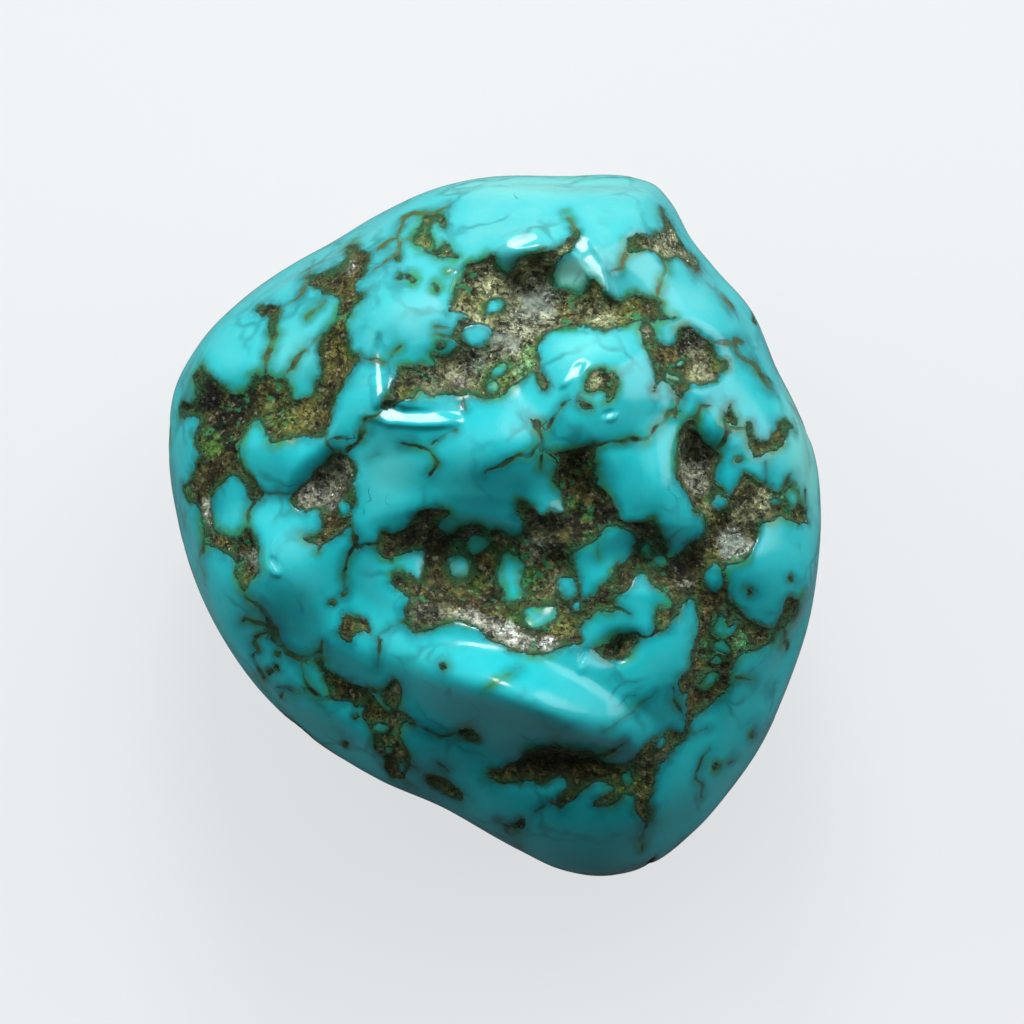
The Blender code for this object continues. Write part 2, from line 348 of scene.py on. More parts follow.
directions, triangles = whole_net()
print("net:", len(directions), "points,", len(triangles), "triangles")

# %% [markdown]
# ## Where the matrix runs
#
# On the show face every patch of host rock is drawn as an outline, seen from above,
# in millimetres from the stone's middle. A vein is a line with a width at each of its points.
# The same could be painted as an image, but an image has a fixed sharpness, and outlines can
# also carve: the distance to the nearest outline tells how deep in the matrix a point lies.

# %% Outlines of the matrix, west side
WEST_RIVER = (
    (-6.16, 12.2), (-5.88, 11.92), (-5.57, 11.73), (-5.25, 11.66), (-5.39, 11.27), (-5.48, 10.75),
    (-5.8, 10.52), (-5.97, 10.28), (-5.9, 9.96), (-5.53, 9.86), (-5.7, 9.63), (-6, 9.44), (-6.16, 9.12),
    (-6.35, 8.6), (-6.25, 8.3), (-6.3, 8), (-6.1, 7.5), (-5.95, 7.3), (-5.7, 7.4), (-5.72, 7.1),
    (-5.85, 6.9), (-6.3, 6.4), (-6.55, 5.85), (-6.75, 5.5), (-6.8, 5.2), (-6.95, 4.9), (-7.1, 4.2),
    (-7.2, 3.85), (-7.7, 3.75), (-8.1, 3.9), (-8.6, 3.7), (-9.1, 3.75), (-9.35, 3.5), (-9.5, 3.6),
    (-9.6, 3.9), (-9.75, 4), (-9.85, 4.5), (-10, 4.6), (-10.2, 4.55), (-10.6, 4.2), (-10.85, 3.5),
    (-10.9, 3), (-10.75, 2.5), (-10.3, 2.05), (-10.05, 1.6), (-9.9, 1.45), (-9.95, 1.2), (-10.3, 1.1),
    (-10.5, 1.3), (-10.6, 1.7), (-10.8, 1.95), (-11, 2.15), (-11.3, 2.2), (-11.6, 1.9), (-12.1, 1.4),
    (-12.1, 0.5), (-11.9, -0.1), (-11.5, -0.4), (-11, -0.45), (-10.95, -1), (-11.05, -1.45), (-11.2, -1.25),
    (-11.5, -1.1), (-12.1, -0.9), (-12.35, -0.8), (-12.45, -0.6), (-12.5, 0.2), (-12.65, 0.9), (-13, 1.05),
    (-13.3, 1.3), (-13.75, 1.55), (-13.4, 1.8), (-12.9, 1.95), (-12.95, 2.2), (-12.7, 2.9), (-12.6, 3.1),
    (-12.8, 3.4), (-12.85, 3.7), (-12.8, 4), (-12.55, 4.4), (-12.7, 4.65), (-13, 4.8), (-13.5, 4.65),
    (-14.3, 4.5), (-14.3, 6.3), (-13.1, 6.6), (-12.5, 7), (-12.4, 6.6), (-12, 6.35), (-11.4, 5.8),
    (-11, 5.65), (-10.7, 5.7), (-10.3, 6.2), (-10.25, 6.5), (-10.1, 6.5), (-10, 6.35), (-9.7, 6.5),
    (-9.3, 6.25), (-9, 6.25), (-8.85, 6.1), (-8.6, 5.55), (-8.3, 5.4), (-7.8, 5.5), (-7.6, 5.8),
    (-7.6, 6.25), (-7.35, 6.5), (-7.3, 7.1), (-7.5, 7.6), (-7.4, 8.1), (-7, 8.5), (-6.65, 9.07),
    (-6.55, 9.44), (-6.6, 9.82), (-7.2, 9.86), (-7.5, 10.1), (-8, 10.33), (-8, 10.7), (-7.4, 10.85),
    (-6.93, 10.98), (-6.46, 11.3), (-6.37, 11.64),
)
WEST_HOLE = (
    (-10.6, -0.05), (-10.3, -0.3), (-10.15, -0.6), (-10.05, -1.4), (-10.05, -1.8), (-10.15, -2.1),
    (-10.5, -2.4), (-10.7, -2.85), (-10.9, -2.3), (-11.1, -1.7), (-11.05, -1), (-10.9, -0.3),
)
NORTH_WEST_HEAD = (
    (-10.25, 9.35), (-9.65, 9.55), (-9.5, 9.4), (-9.1, 9.35), (-9.35, 8.8), (-9.4, 8), (-9.6, 8.3),
    (-9.7, 8.6), (-9.6, 9), (-9.95, 8.95),
)
RIVER_PIT = (
    (-6.6, 3.2), (-6.3, 3.1), (-6, 2.7), (-5.85, 2.5), (-5.95, 2.2), (-6.1, 1.9), (-6, 1.6), (-5.95, 1.3),
    (-6, 0.8), (-6.2, 0.2), (-6.1, 0), (-6.6, -0.2), (-7.2, -0.7), (-7.6, -1.1), (-7.5, -0.7), (-8, -0.55),
    (-8, -0.45), (-7.5, -0.3), (-7.35, -0.1), (-7.35, 0.3), (-7.4, 0.75), (-7.6, 0.85), (-8, 0.65),
    (-8.4, 0.75), (-8.75, 1.2), (-8.5, 1.5), (-8.1, 1.8), (-7.5, 2.4), (-7.2, 2.6), (-7.1, 2.9),
    (-6.9, 3.1),
)
SOUTH_WEST_BAND = (
    (-7.6, -5.75), (-7.4, -5.75), (-7.2, -6), (-6.9, -6.25), (-6.1, -6.7), (-5.4, -6.95), (-5, -7),
    (-4.7, -6.95), (-4.45, -6.55), (-4.2, -6.6), (-4.05, -6.8), (-4, -7.4), (-4.15, -7.6), (-4.1, -7.9),
    (-3.9, -7.9), (-3.6, -8.2), (-3.4, -8.5), (-3.9, -8.3), (-4, -8.5), (-4.1, -9.1), (-3.6, -9.8),
    (-3.6, -10.1), (-3.9, -10.7), (-3.8, -11), (-3.2, -11.6), (-3.5, -11.9), (-4.8, -11.2), (-4.8, -10.75),
    (-4.7, -10.1), (-4.8, -9.8), (-5.15, -9.6), (-5.1, -9), (-5.25, -8.7), (-5.6, -8.2), (-5.9, -8.1),
    (-5.6, -8), (-5.65, -7.7), (-6.2, -7.45), (-6.9, -7.4), (-7.1, -7), (-7.2, -6.3), (-7.4, -6),
)
SOUTH_WEST_EYE = (
    (-6.3, -3.65), (-5.85, -3.9), (-5.4, -3.9), (-5.25, -4.4), (-5.3, -4.6), (-5.65, -4.4), (-6, -4.7),
    (-6.1, -4.95), (-6.75, -4.65), (-6.45, -4.1),
)

# %% Outlines of the matrix, crown and boss
CROWN_HOLLOW = (
    (-1.95, 9.2), (-1.8, 9.5), (-1.72, 10), (-1.5, 10.33), (-1.2, 10.9), (-1.23, 11.12), (-0.46, 11.3),
    (-0.16, 11.7), (0.05, 11.12), (0.33, 10.9), (0.66, 10.75), (0.9, 11.2), (1.17, 11.45), (1.83, 11.57),
    (2.5, 11.78), (2.86, 11.97), (3.14, 12.25), (3.5, 12.6), (3.56, 12.34), (3.27, 11.64), (2.95, 11.55),
    (2.7, 11.3), (2.5, 10.8), (2.55, 10.3), (2.9, 10), (3.5, 9.95), (4, 10.15), (4.1, 10.6), (4.5, 10.33),
    (4.6, 9.96), (4.7, 9.68), (5.45, 9.58), (5.87, 9.9), (6.24, 9.8), (6.8, 9.8), (7.08, 9.63), (7.08, 9.3),
    (7.27, 9), (7.87, 8.84), (7, 8.88), (6.8, 8.7), (6.24, 8.8), (5.54, 8.56), (5.1, 8.46), (4.84, 8.28),
    (4.3, 8.46), (3.8, 8.53), (3.2, 8.5), (2.4, 8.32), (2.15, 8.14), (1.9, 7.85), (1.8, 7.6), (1.9, 7.3),
    (1.85, 7.1), (1.9, 6.6), (2.15, 6.4), (2.35, 5.95), (2.15, 5.75), (1.85, 6.1), (1.7, 6.5), (1.3, 6.4),
    (0.7, 5.95), (0.45, 5.65), (0.1, 5.5), (-0.3, 5.45), (-1, 5.7), (-1.5, 5.55), (-2.2, 5.65), (-2.7, 5.5),
    (-3, 5.8), (-3.2, 5.8), (-3.5, 5.5), (-3.9, 5.4), (-4.2, 5.1), (-4.7, 4.97), (-4.85, 5.1), (-4.5, 5.7),
    (-4.2, 6.5), (-4.05, 6.95), (-3.4, 6.8), (-3.2, 6.9), (-2.8, 6.75), (-2.55, 6.85), (-2.55, 7.1),
    (-2.7, 7.4), (-2.1, 7.25), (-1.7, 7.5), (-1.6, 7.9), (-1.85, 8), (-1.55, 8.6), (-1.15, 8.9),
    (-1.3, 9.07), (-1.72, 9.14),
)
CORNER_GROOVE = (
    (7.27, 13.65), (7.97, 12.8), (8.5, 12), (9, 11.55), (9, 11.17), (8.67, 10.94), (8.34, 11.12),
    (8.1, 11.45), (7.73, 11.6), (7.3, 11.3), (7.13, 11.64), (6.8, 11.78), (6, 11.78), (5.8, 11.64),
    (5.6, 11.97), (5.87, 12.53), (6.33, 12.43), (6.7, 12.34), (7.27, 12.67), (7.3, 12.95), (7.06, 13.55),
)
OLIVE_PATCH = (
    (-3, 13.4), (-2.63, 13.27), (-2.35, 13.37), (-2.16, 13.27), (-2.05, 12.85), (-2.2, 12.7), (-2.5, 13.1),
    (-2.7, 13), (-2.93, 12.53), (-2.7, 12.34), (-2.63, 11.87), (-2.4, 11.78), (-1.98, 12.15),
    (-1.88, 11.73), (-1.53, 11.4), (-2.4, 11.52), (-2.96, 11.69), (-3.38, 12.1), (-3.45, 12.3),
    (-3.05, 12.95),
)
BOSS_PATCH = (
    (3.95, 6.3), (4.1, 6.55), (4.5, 6.75), (4.9, 6.55), (5.1, 6.6), (5.3, 6.2), (5.15, 5.6), (4.8, 5.25),
    (4.7, 5.3), (4.85, 5.7), (4.5, 5.75), (4, 5.7), (3.85, 6),
)
BOSS_FLECK = (
    (3.55, 5.2), (3.7, 5.4), (4.1, 5.1), (4.15, 4.9), (3.7, 5),
)

# %% Outlines of the matrix, east side
EAST_PIT = (
    (7.87, 8.5), (8.1, 8.58), (8.4, 8.45), (8.7, 8.16), (9.3, 7.88), (9.45, 7.27), (10, 7.04), (9.96, 6.76),
    (9.68, 6.7), (9.45, 6.2), (8.7, 6.06), (8.37, 6.2), (8.2, 5.85), (7.9, 5.6), (8, 5.35), (7.75, 5.65),
    (7.5, 6.05), (7.1, 6.35), (6.8, 6), (6.75, 5.7), (6.85, 6.6), (6.6, 7.3), (6.4, 7.8), (6.2, 8.05),
    (6.3, 8.7), (6.6, 8.7), (6.85, 8.3), (6.85, 7.95), (7.3, 7.68), (7.6, 7.75), (7.87, 7.95),
)
EAST_HORSESHOE = (
    (10.85, 4.5), (10.75, 4.24), (10.9, 3.35), (11.1, 3), (11.36, 2.98), (12.1, 3.4), (12.4, 3.63),
    (12.5, 4.24), (12.7, 4.24), (12.95, 3.9), (13.1, 3.96), (13, 4.24), (12.53, 4.66), (12.1, 4.42),
    (12.06, 4.14), (11.83, 3.96), (11.73, 3.72), (11.17, 3.72), (11, 3.96), (11, 4.28),
)
TOOTH = (
    (10.05, 5.35), (9.95, 4.9), (9.75, 4.75), (9.8, 4.5), (10, 4.35), (10.25, 4.35), (10.35, 4.55),
    (10.15, 4.8),
)
SMALL_PIT = (
    (4.3, -5.15), (4.6, -5.1), (5.2, -4.7), (5.5, -4.55), (6.05, -4.6), (6.1, -4.8), (5.9, -5),
    (5.75, -5.55), (5.4, -5.75), (4.8, -5.7), (4.35, -5.35),
)
EAST_BLOT = (
    (11, -8.85), (11.2, -8.7), (11.5, -8.7), (11.55, -8.85), (11.3, -9.3), (11, -9.05),
)

# %% Outlines of the matrix, the middle, from the oval pit round by the south and back
MIDDLE_AND_EAST = (
    (8.5, 4.6), (8.1, 4.5), (8.05, 4.2), (7.85, 3.8), (7.75, 2.5), (7.7, 2.2), (7.85, 1.75), (8.15, 1.5),
    (8.3, 1.25), (8.55, 0.7), (8.95, 0.45), (9.05, 0.2), (9.05, -0.1), (8.8, -0.55), (8.5, -0.65),
    (8, -1.1), (7.5, -1.35), (7.3, -1.3), (7.35, -0.9), (7.3, -0.65), (7.1, -0.6), (6.95, -0.1),
    (6.8, 0.25), (6.6, 0.3), (6.3, 0.15), (5.8, 0.15), (5.4, 0.3), (5.15, 0.8), (5, 1.3), (4.3, 1.75),
    (4.4, 2), (4.2, 2.2), (4.35, 3), (4.3, 3.3), (4.5, 3.5), (3.5, 3.3), (2.5, 3.1), (2.1, 3.2), (2.7, 2.8),
    (2.5, 2.1), (2.7, 1.85), (2.95, 1.3), (2.9, 1.05), (3, 0.6), (2.6, 0.65), (2.4, 0.7), (2, 0.4),
    (1.75, 0.75), (1.35, 1), (1.15, 1.15), (0.9, 1.1), (0.95, 0.4), (1.3, 0.2), (1.25, -0.2), (1, -0.4),
    (0.7, -0.4), (0.2, -0.1), (-0.2, -0.25), (-0.6, 0), (-0.9, 0.05), (-1.4, -0.05), (-1.7, -0.35),
    (-2.2, -0.3), (-2.4, 0), (-2.3, 0.2), (-1.85, 0.65), (-2.5, 0.72), (-2.9, 0.75), (-3.35, 0.5),
    (-3.6, 0.05), (-4.3, -0.35), (-4.55, -0.3), (-4.6, -0.1), (-4.85, -0.2), (-5, -0.8), (-4.85, -1.2),
    (-4.5, -1.4), (-4, -1.15), (-3.3, -1), (-3.05, -0.95), (-2.9, -1.1), (-2.9, -1.5), (-3.05, -2.15),
    (-3.2, -2.3), (-3.6, -2), (-4.2, -1.9), (-4.4, -1.95), (-4.4, -2.45), (-3.75, -2.9), (-3.6, -3.1),
    (-3.85, -3.6), (-3.75, -3.95), (-3.9, -4.1), (-3.4, -4.45), (-3.2, -4.5), (-2.7, -4.35), (-2.2, -4.1),
    (-1.6, -4.05), (-0.8, -4.2), (-0.5, -4.35), (-0.15, -4.85), (0.4, -4.95), (0.85, -5.3), (1.5, -5.35),
    (1.9, -5.5), (2.4, -5.3), (3, -5.1), (3.7, -5), (3.75, -4.7), (3.6, -4.4), (3.9, -3.9), (4.4, -3.6),
    (4.9, -3.6), (5.25, -3.45), (5.2, -3), (5.7, -2.75), (6, -2.3), (6.15, -2), (6.3, -1.9), (6.45, -2.05),
    (6.55, -2.3), (7.1, -2.7), (7.6, -3), (7.65, -3.2), (7.5, -3.45), (7, -3.45), (6.85, -3.6), (6.8, -4.1),
    (6.9, -4.35), (7.25, -4.4), (7.6, -4), (7.95, -3.5), (8.2, -3.05), (8.45, -3), (8.6, -3.2), (8.7, -4),
    (8.6, -4.8), (8.45, -5.4), (8.4, -6), (8.1, -6.35), (7.9, -6.4), (7.8, -6.7), (7.95, -7.1), (8.3, -7.1),
    (8.2, -7.4), (8.2, -8.3), (8.05, -8.9), (7.7, -8.65), (7, -9), (6.4, -9.4), (5.95, -10), (5.3, -10.25),
    (4.6, -10.1), (4.4, -9.9), (5.1, -9.7), (5.25, -9.45), (5.8, -9.15), (5.1, -9.55), (4.5, -9.8),
    (3.85, -9.55), (3, -9.5), (2.6, -9.25), (2.1, -9.5), (1.4, -9.6), (0.8, -10.1), (0.1, -10.45),
    (-0.1, -10.35), (-0.35, -10.7), (0.2, -10.95), (1, -10.85), (1.2, -11.05), (1.4, -10.85), (2.1, -11.1),
    (2.5, -10.7), (2.9, -10.65), (3.2, -11.15), (2.8, -11.35), (2.8, -11.7), (2.2, -11.85), (2.7, -11.95),
    (2.9, -12.1), (3.1, -11.8), (3.4, -11.7), (3.8, -11.2), (4.35, -10.9), (4.95, -11), (5.2, -11),
    (5, -11.3), (4.3, -11.7), (4.15, -11.95), (5.2, -11.8), (5.95, -11.4), (6.05, -11.75), (6.1, -12.3),
    (6.5, -12.7), (6.75, -12.2), (6.6, -11.7), (6.85, -11.25), (6.9, -10.8), (7, -10.1), (7.3, -10),
    (7.8, -9.4), (8.25, -8.95), (8.4, -8.35), (8.8, -7.95), (9.4, -7.6), (9.8, -7.2), (10.1, -6.6),
    (10.2, -6), (10.45, -5.45), (10.7, -5.35), (11.5, -5.15), (11.9, -4.8), (12.3, -4.3), (12.9, -3.9),
    (13.2, -3.3), (13.6, -2.5), (13.1, -3.2), (12.8, -3.15), (12.65, -3), (12.5, -3.1), (12.35, -3.7),
    (12.1, -4.2), (11.8, -4.35), (11.2, -4.2), (10.8, -3.9), (10.2, -3.4), (10, -3.3), (9.9, -2.6),
    (9.85, -1.7), (10, -1.6), (10.7, -1.4), (11.05, -0.9), (11.3, -0.1), (11.3, 0.2), (11.8, 0.2),
    (12.2, 0.45), (12.45, 0.4), (12.7, 0.25), (13.3, 0.1), (13.5, 0.2), (13.35, 0.8), (13, 0.85),
    (12.85, 1.3), (12.8, 1.6), (12.5, 1.7), (12.2, 1.45), (11.9, 1.5), (11.5, 1.9), (11.3, 1.85),
    (10.75, 2.35), (10.5, 1.9), (10.2, 1.4), (10, 1.25), (9.75, 1.6), (9.35, 2), (9.4, 2.4), (9.6, 2.7),
    (9.6, 3), (9.2, 3.4), (8.95, 3.55), (8.7, 3.9), (8.55, 4.3),
)

# %% Small blots, and turquoise islands inside the matrix
BLOTS = {
    "south blot": ((-1.8, -8.8), (-1.1, -8.55), (-0.65, -8.95), (-0.65, -9.15), (-1.3, -9.1)),
    "lower blot": ((-3.1, -10.65), (-2.4, -10.65), (-1.8, -11.05), (-1.35, -11.6), (-1.5, -11.8),
                   (-2.2, -11.5)),
    "last blot": ((0.1, -12.6), (0.5, -12.85), (0.8, -12.85), (1.2, -12.5), (1.4, -12.7),
                  (1.2, -13), (0.8, -13.05)),
    "west triangle": ((-13.05, -1.8), (-12.7, -1.6), (-12.55, -2.3), (-12.7, -2.8)),
}
ISLANDS = (
    ((0.35, -1.1), (0.6, -1), (1.1, -1.5), (1.35, -1.5), (1.15, -2.1), (1.25, -3), (0.8, -3.2), (0.4, -3.2),
     (0.45, -2.7), (0.15, -2.3), (0.1, -2), (0.25, -1.3)),
    ((1.2, -3.5), (2, -3.35), (2.3, -3.3), (2.75, -3.6), (2.4, -4.1), (1.9, -4.45), (1.35, -4.2)),
    ((2.8, -2.15), (3.3, -2.15), (3.6, -2.7), (3.3, -3.05), (2.8, -3.1), (2.65, -2.4)),
    ((3.2, -0.8), (3.5, -0.95), (4.4, -0.5), (4.8, 0), (5.3, 0.05), (5.45, -0.1), (6.05, -0.3), (6.1, -0.9),
     (5.6, -1.5), (5.1, -1.7), (5.1, -2.3), (4.6, -2.45), (4.35, -2.9), (3.9, -3.1), (3.6, -3), (3.6, -2.4),
     (3.35, -1.6)),
    ((9.6, -3.7), (9.2, -4.4), (9.35, -4.7), (10.1, -4.7), (10.45, -4.1), (10.35, -3.85), (9.95, -4.35),
     (9.85, -3.8)),
    ((9.2, -5.1), (9.45, -4.8), (9.8, -4.75), (10.1, -5.05), (10.1, -5.4), (9.5, -5.55)),
    ((8.65, -6.95), (9, -6.3), (9.3, -6.15), (9.75, -6.2), (9.5, -6.7), (9, -7)),
    ((7.25, 6.5), (7.4, 6.75), (7.85, 6.45), (8, 6.3), (7.7, 6.2), (7.3, 6.35)),
    ((-5.5, -7), (-5, -7.1), (-4.7, -7.4), (-4.3, -8.1), (-4.8, -7.8)),
    ((-12.9, 6.5), (-12.7, 5.6), (-13.1, 5.2), (-13.6, 5.7), (-13.5, 6.2)),
)
# Round islands: centre x, y, half width, half height, turn in degrees.
BEADS = (
    (-0.72, 8.15, 0.66, 0.52, 0), (0.05, 9.35, 0.42, 0.26, 30), (0.2, 6.65, 0.45, 0.22, 35),
    (-0.05, 5.95, 0.25, 0.25, 0), (3.7, 8.6, 0.3, 0.07, 5), (-1.45, -1.7, 0.5, 0.5, 0),
    (-0.73, -0.8, 0.53, 0.4, 0), (3.5, -3.4, 0.2, 0.2, 0), (9.35, -2.2, 0.43, 0.6, 0),
    (9.5, -5.75, 0.25, 0.2, 0), (6.5, -1.05, 0.22, 0.3, 0), (7, -1.5, 0.3, 0.25, 0), (9.6, 1, 0.35, 0.3, 0),
    (12.05, 1.05, 0.2, 0.2, 0), (12.7, 1.2, 0.3, 0.45, 0), (5.7, -10.7, 0.25, 0.3, 0),
    (5.6, -11.7, 0.3, 0.3, 0), (7.1, -9.3, 0.3, 0.2, 40), (-6.4, 0.8, 0.28, 0.38, 0),
    (9.75, 7.4, 0.3, 0.3, 0), (7.85, 7, 0.25, 0.12, 20), (-4.9, -8.65, 0.35, 0.25, 0),
    (-3.95, -10.25, 0.2, 0.2, 0), (-4.5, -9.6, 0.2, 0.2, 0),
)

# %% Veins: x, y and width at each point
VEINS = (
    ((-5, 11.78, 0.12), (-4.5, 12.18, 0.12), (-4.1, 12.25, 0.1)),
    ((-5.2, 10.87, 0.1), (-4.64, 11.4, 0.12), (-4.12, 11.73, 0.18), (-4.03, 11.97, 0.12)),
    ((-5.53, 9.86, 0.1), (-5.2, 10.17, 0.06)),
    ((-8, 8.93, 0.1), (-7.58, 9.44, 0.14), (-7.3, 9.56, 0.1)),
    ((-4.05, 12.2, 0.12), (-4.1, 12.48, 0.12), (-3.9, 13.13, 0.12), (-3.33, 13.41, 0.14),
     (-2.87, 13.37, 0.14), (-2.54, 13.37, 0.12), (-2.02, 13.67, 0.06)),
    ((-4.03, 12, 0.12), (-3.8, 12.18, 0.12), (-3.5, 12.32, 0.12)),
    ((-2.1, 10.8, 0.1), (-1.7, 10.87, 0.08)),
    ((-8, 11.5, 0.08), (-7.2, 11.9, 0.1)),
    ((-9.4, 8.2, 0.22), (-9.5, 7.8, 0.25), (-9.65, 7.4, 0.25), (-9.65, 7, 0.14), (-9.75, 6.4, 0.1)),
    ((-9.1, 9.4, 0.08), (-8.5, 9.68, 0.1), (-8.3, 10, 0.14), (-8.1, 10.4, 0.25), (-8, 10.8, 0.12),
     (-8, 11.3, 0.08), (-7.6, 11.5, 0.06)),
    ((-7.05, 8.5, 0.12), (-7.4, 8.15, 0.1), (-7.8, 7.8, 0.12), (-8.25, 7.5, 0.12), (-8.55, 7, 0.15),
     (-8.8, 6.5, 0.08)),
    ((-5.6, 7.15, 0.07), (-5, 7.1, 0.06), (-4.45, 7, 0.09), (-4.3, 7.45, 0.12), (-4, 7.75, 0.06)),
    ((-4.75, 4.95, 0.1), (-5, 4.7, 0.12), (-5.3, 4.6, 0.15), (-5.6, 4.1, 0.28), (-5.9, 3.5, 0.16),
     (-6.3, 3.05, 0.2)),
    ((-7.15, 3.95, 0.14), (-7.1, 3.4, 0.12), (-6.9, 3.1, 0.12)),
    ((-6.75, 3.8, 0.14), (-6.2, 3.75, 0.14)),
    ((-3.9, 3.45, 0.1), (-3.4, 3.42, 0.1), (-3.1, 3.3, 0.12), (-2.7, 3.15, 0.14), (-2.4, 2.7, 0.14),
     (-2.5, 2.5, 0.12), (-2.8, 2.1, 0.08)),
    ((-2.6, 3.5, 0.08), (-2, 3.85, 0.08), (-1.6, 4.05, 0.06)),
    ((-2.1, 8.5, 0.12), (-2.4, 8.4, 0.12), (-2.45, 8.15, 0.1), (-1.8, 8.05, 0.1)),
    ((3.1, 5.35, 0.15), (2.8, 5.15, 0.14), (2.55, 4.7, 0.16), (2.2, 4.2, 0.14)),
    ((1.75, 4.35, 0.26), (1.95, 3.9, 0.14), (2.05, 3.6, 0.16), (2.1, 3.2, 0.14)),
    ((2.05, 3.6, 0.12), (1.6, 3.3, 0.14), (1.35, 3.05, 0.25), (0.9, 2.95, 0.12), (0.45, 2.75, 0.2),
     (0.2, 2.55, 0.12), (-0.3, 2.3, 0.06)),
    ((2, 2.9, 0.1), (1.95, 2.4, 0.08)),
    ((7.85, 5.6, 0.14), (7.7, 5.1, 0.14), (7.7, 4.85, 0.28), (7.4, 4.8, 0.14), (6.9, 4.25, 0.14),
     (6.4, 3.6, 0.1), (5.4, 3.68, 0.14), (5, 3.6, 0.12), (4.1, 3.38, 0.22)),
    ((3.05, 13.3, 0.08), (3.3, 13, 0.1), (3.45, 12.6, 0.14)),
    ((9.54, 7.88, 0.16), (10.05, 7.88, 0.3), (10.24, 7.8, 0.3), (10.5, 7.27, 0.2), (11.1, 6.95, 0.18),
     (11.7, 6.15, 0.28), (12.06, 5.8, 0.32), (12.2, 5.55, 0.1)),
    ((9, 5.15, 0.12), (8.75, 5.1, 0.12), (8.5, 4.6, 0.14)),
    ((9.75, 4.65, 0.12), (9.9, 4.1, 0.12), (9.7, 3.6, 0.14), (9.5, 3.2, 0.12)),
    ((9.95, 4.2, 0.1), (10.9, 4.2, 0.1)),
    ((11.6, 2.7, 0.08), (11.6, 2.2, 0.1), (11.5, 1.9, 0.1)),
    ((12.6, 2.15, 0.1), (12.3, 1.55, 0.12)),
    ((13.3, 1.5, 0.08), (13.3, 1, 0.1)),
    ((-6.1, 0, 0.14), (-5.85, -0.5, 0.2), (-5.85, -0.8, 0.16), (-6.2, -1.2, 0.14), (-6.4, -2, 0.16),
     (-6.35, -2.35, 0.2), (-6.3, -2.7, 0.14), (-6.45, -2.95, 0.18)),
    ((-5.9, -0.85, 0.1), (-5.5, -0.8, 0.08), (-4.9, -0.8, 0.18)),
    ((-9.95, 1.3, 0.12), (-9.4, 1.35, 0.12), (-8.9, 1.32, 0.1), (-8.7, 1.35, 0.12)),
    ((-10.6, -3, 0.08), (-10.2, -3.3, 0.1), (-9.9, -3.5, 0.15), (-9.6, -4.1, 0.35), (-9.5, -4.4, 0.45),
     (-9.35, -4.75, 0.4), (-8.9, -5.35, 0.26), (-8.25, -5.65, 0.28), (-7.7, -5.6, 0.14), (-7.4, -5.45, 0.2),
     (-7.35, -4.9, 0.08)),
    ((-9.7, -4.35, 0.14), (-10.2, -4.15, 0.1), (-10.5, -3.95, 0.1), (-10.7, -4, 0.12)),
    ((-9.5, -4.55, 0.2), (-10.2, -4.75, 0.16), (-10.2, -5, 0.2), (-10.05, -5.35, 0.14)),
    ((-10.25, -5.6, 0.12), (-10, -6.35, 0.12), (-9.98, -6.5, 0.2), (-10.2, -7.1, 0.12),
     (-10.05, -7.35, 0.06)),
    ((-9.2, -6.85, 0.12), (-8.95, -6.9, 0.25), (-8.45, -7.15, 0.14)),
    ((-9, -7.1, 0.1), (-9.15, -7.4, 0.2), (-9.25, -7.95, 0.08)),
    ((-8.25, -5.8, 0.1), (-8.2, -6.4, 0.12), (-7.9, -6.95, 0.2), (-7.4, -7.3, 0.14), (-6.9, -7.3, 0.14)),
    ((-3.7, -10.1, 0.12), (-3.3, -10.35, 0.06)),
    ((-2.4, -10.2, 0.1), (-2, -10.5, 0.06)),
    ((2.2, -11.85, 0.1), (1.8, -12.1, 0.1), (1.7, -12.25, 0.06)),
    ((7.5, -7, 0.07), (7.6, -7.3, 0.1), (7.9, -7.85, 0.12)),
    ((6.05, -4.6, 0.16), (6.3, -4.65, 0.16), (6.6, -4.6, 0.2), (6.9, -4.25, 0.24)),
    ((5.2, -3.55, 0.14), (5.75, -3.75, 0.08)),
    ((4.35, -5.25, 0.12), (4, -5.2, 0.06)),
    ((10.3, -6.5, 0.08), (11, -6.55, 0.06)),
    ((9.1, -8.6, 0.08), (8.5, -8.85, 0.08)),
    ((12, -7.25, 0.1), (12.2, -7, 0.08)),
    ((10.1, -10.05, 0.1), (10.7, -9.9, 0.1)),
    ((5.54, 11.55, 0.2), (5.28, 10.85, 0.12), (4.98, 10.75, 0.06)),
    ((7.3, 11.3, 0.13), (7.36, 10.98, 0.13), (7.17, 10.57, 0.13), (7, 9.96, 0.12)),
    ((8.67, 10.94, 0.1), (8.6, 10.73, 0.05)),
    ((-3.4, -8.5, 0.16), (-2.9, -8.75, 0.13), (-2.3, -8.95, 0.08), (-1.7, -8.9, 0.08)),
    ((-10.55, 0.1, 0.12), (-10.55, 0.5, 0.15), (-10.25, 1.1, 0.15)),
    ((-4.9, -4.8, 0.14), (-4.9, -5.25, 0.14), (-4.95, -5.9, 0.06)),
    ((-12.45, -0.8, 0.12), (-12.5, -1.2, 0.12), (-12.85, -1.65, 0.1), (-12.5, -3.3, 0.12)),
    ((9.8, 9.96, 0.16), (10.2, 9.35, 0.2)),
    ((10.3, 8.07, 0.12), (10.7, 7.9, 0.1)),
    ((12.45, -4.5, 0.1), (12.5, -5.15, 0.2)),
    ((0.6, -12.9, 0.1), (0.6, -13.2, 0.14)),
    ((-1.3, 5.4, 0.1), (-1.2, 5.1, 0.06)),
    ((6.6, -12.6, 0.14), (6.2, -13.4, 0.1), (6.4, -14.2, 0.06)),
    ((9.2, -9.6, 0.1), (8.6, -10.6, 0.14), (8.9, -11.6, 0.08)),
)
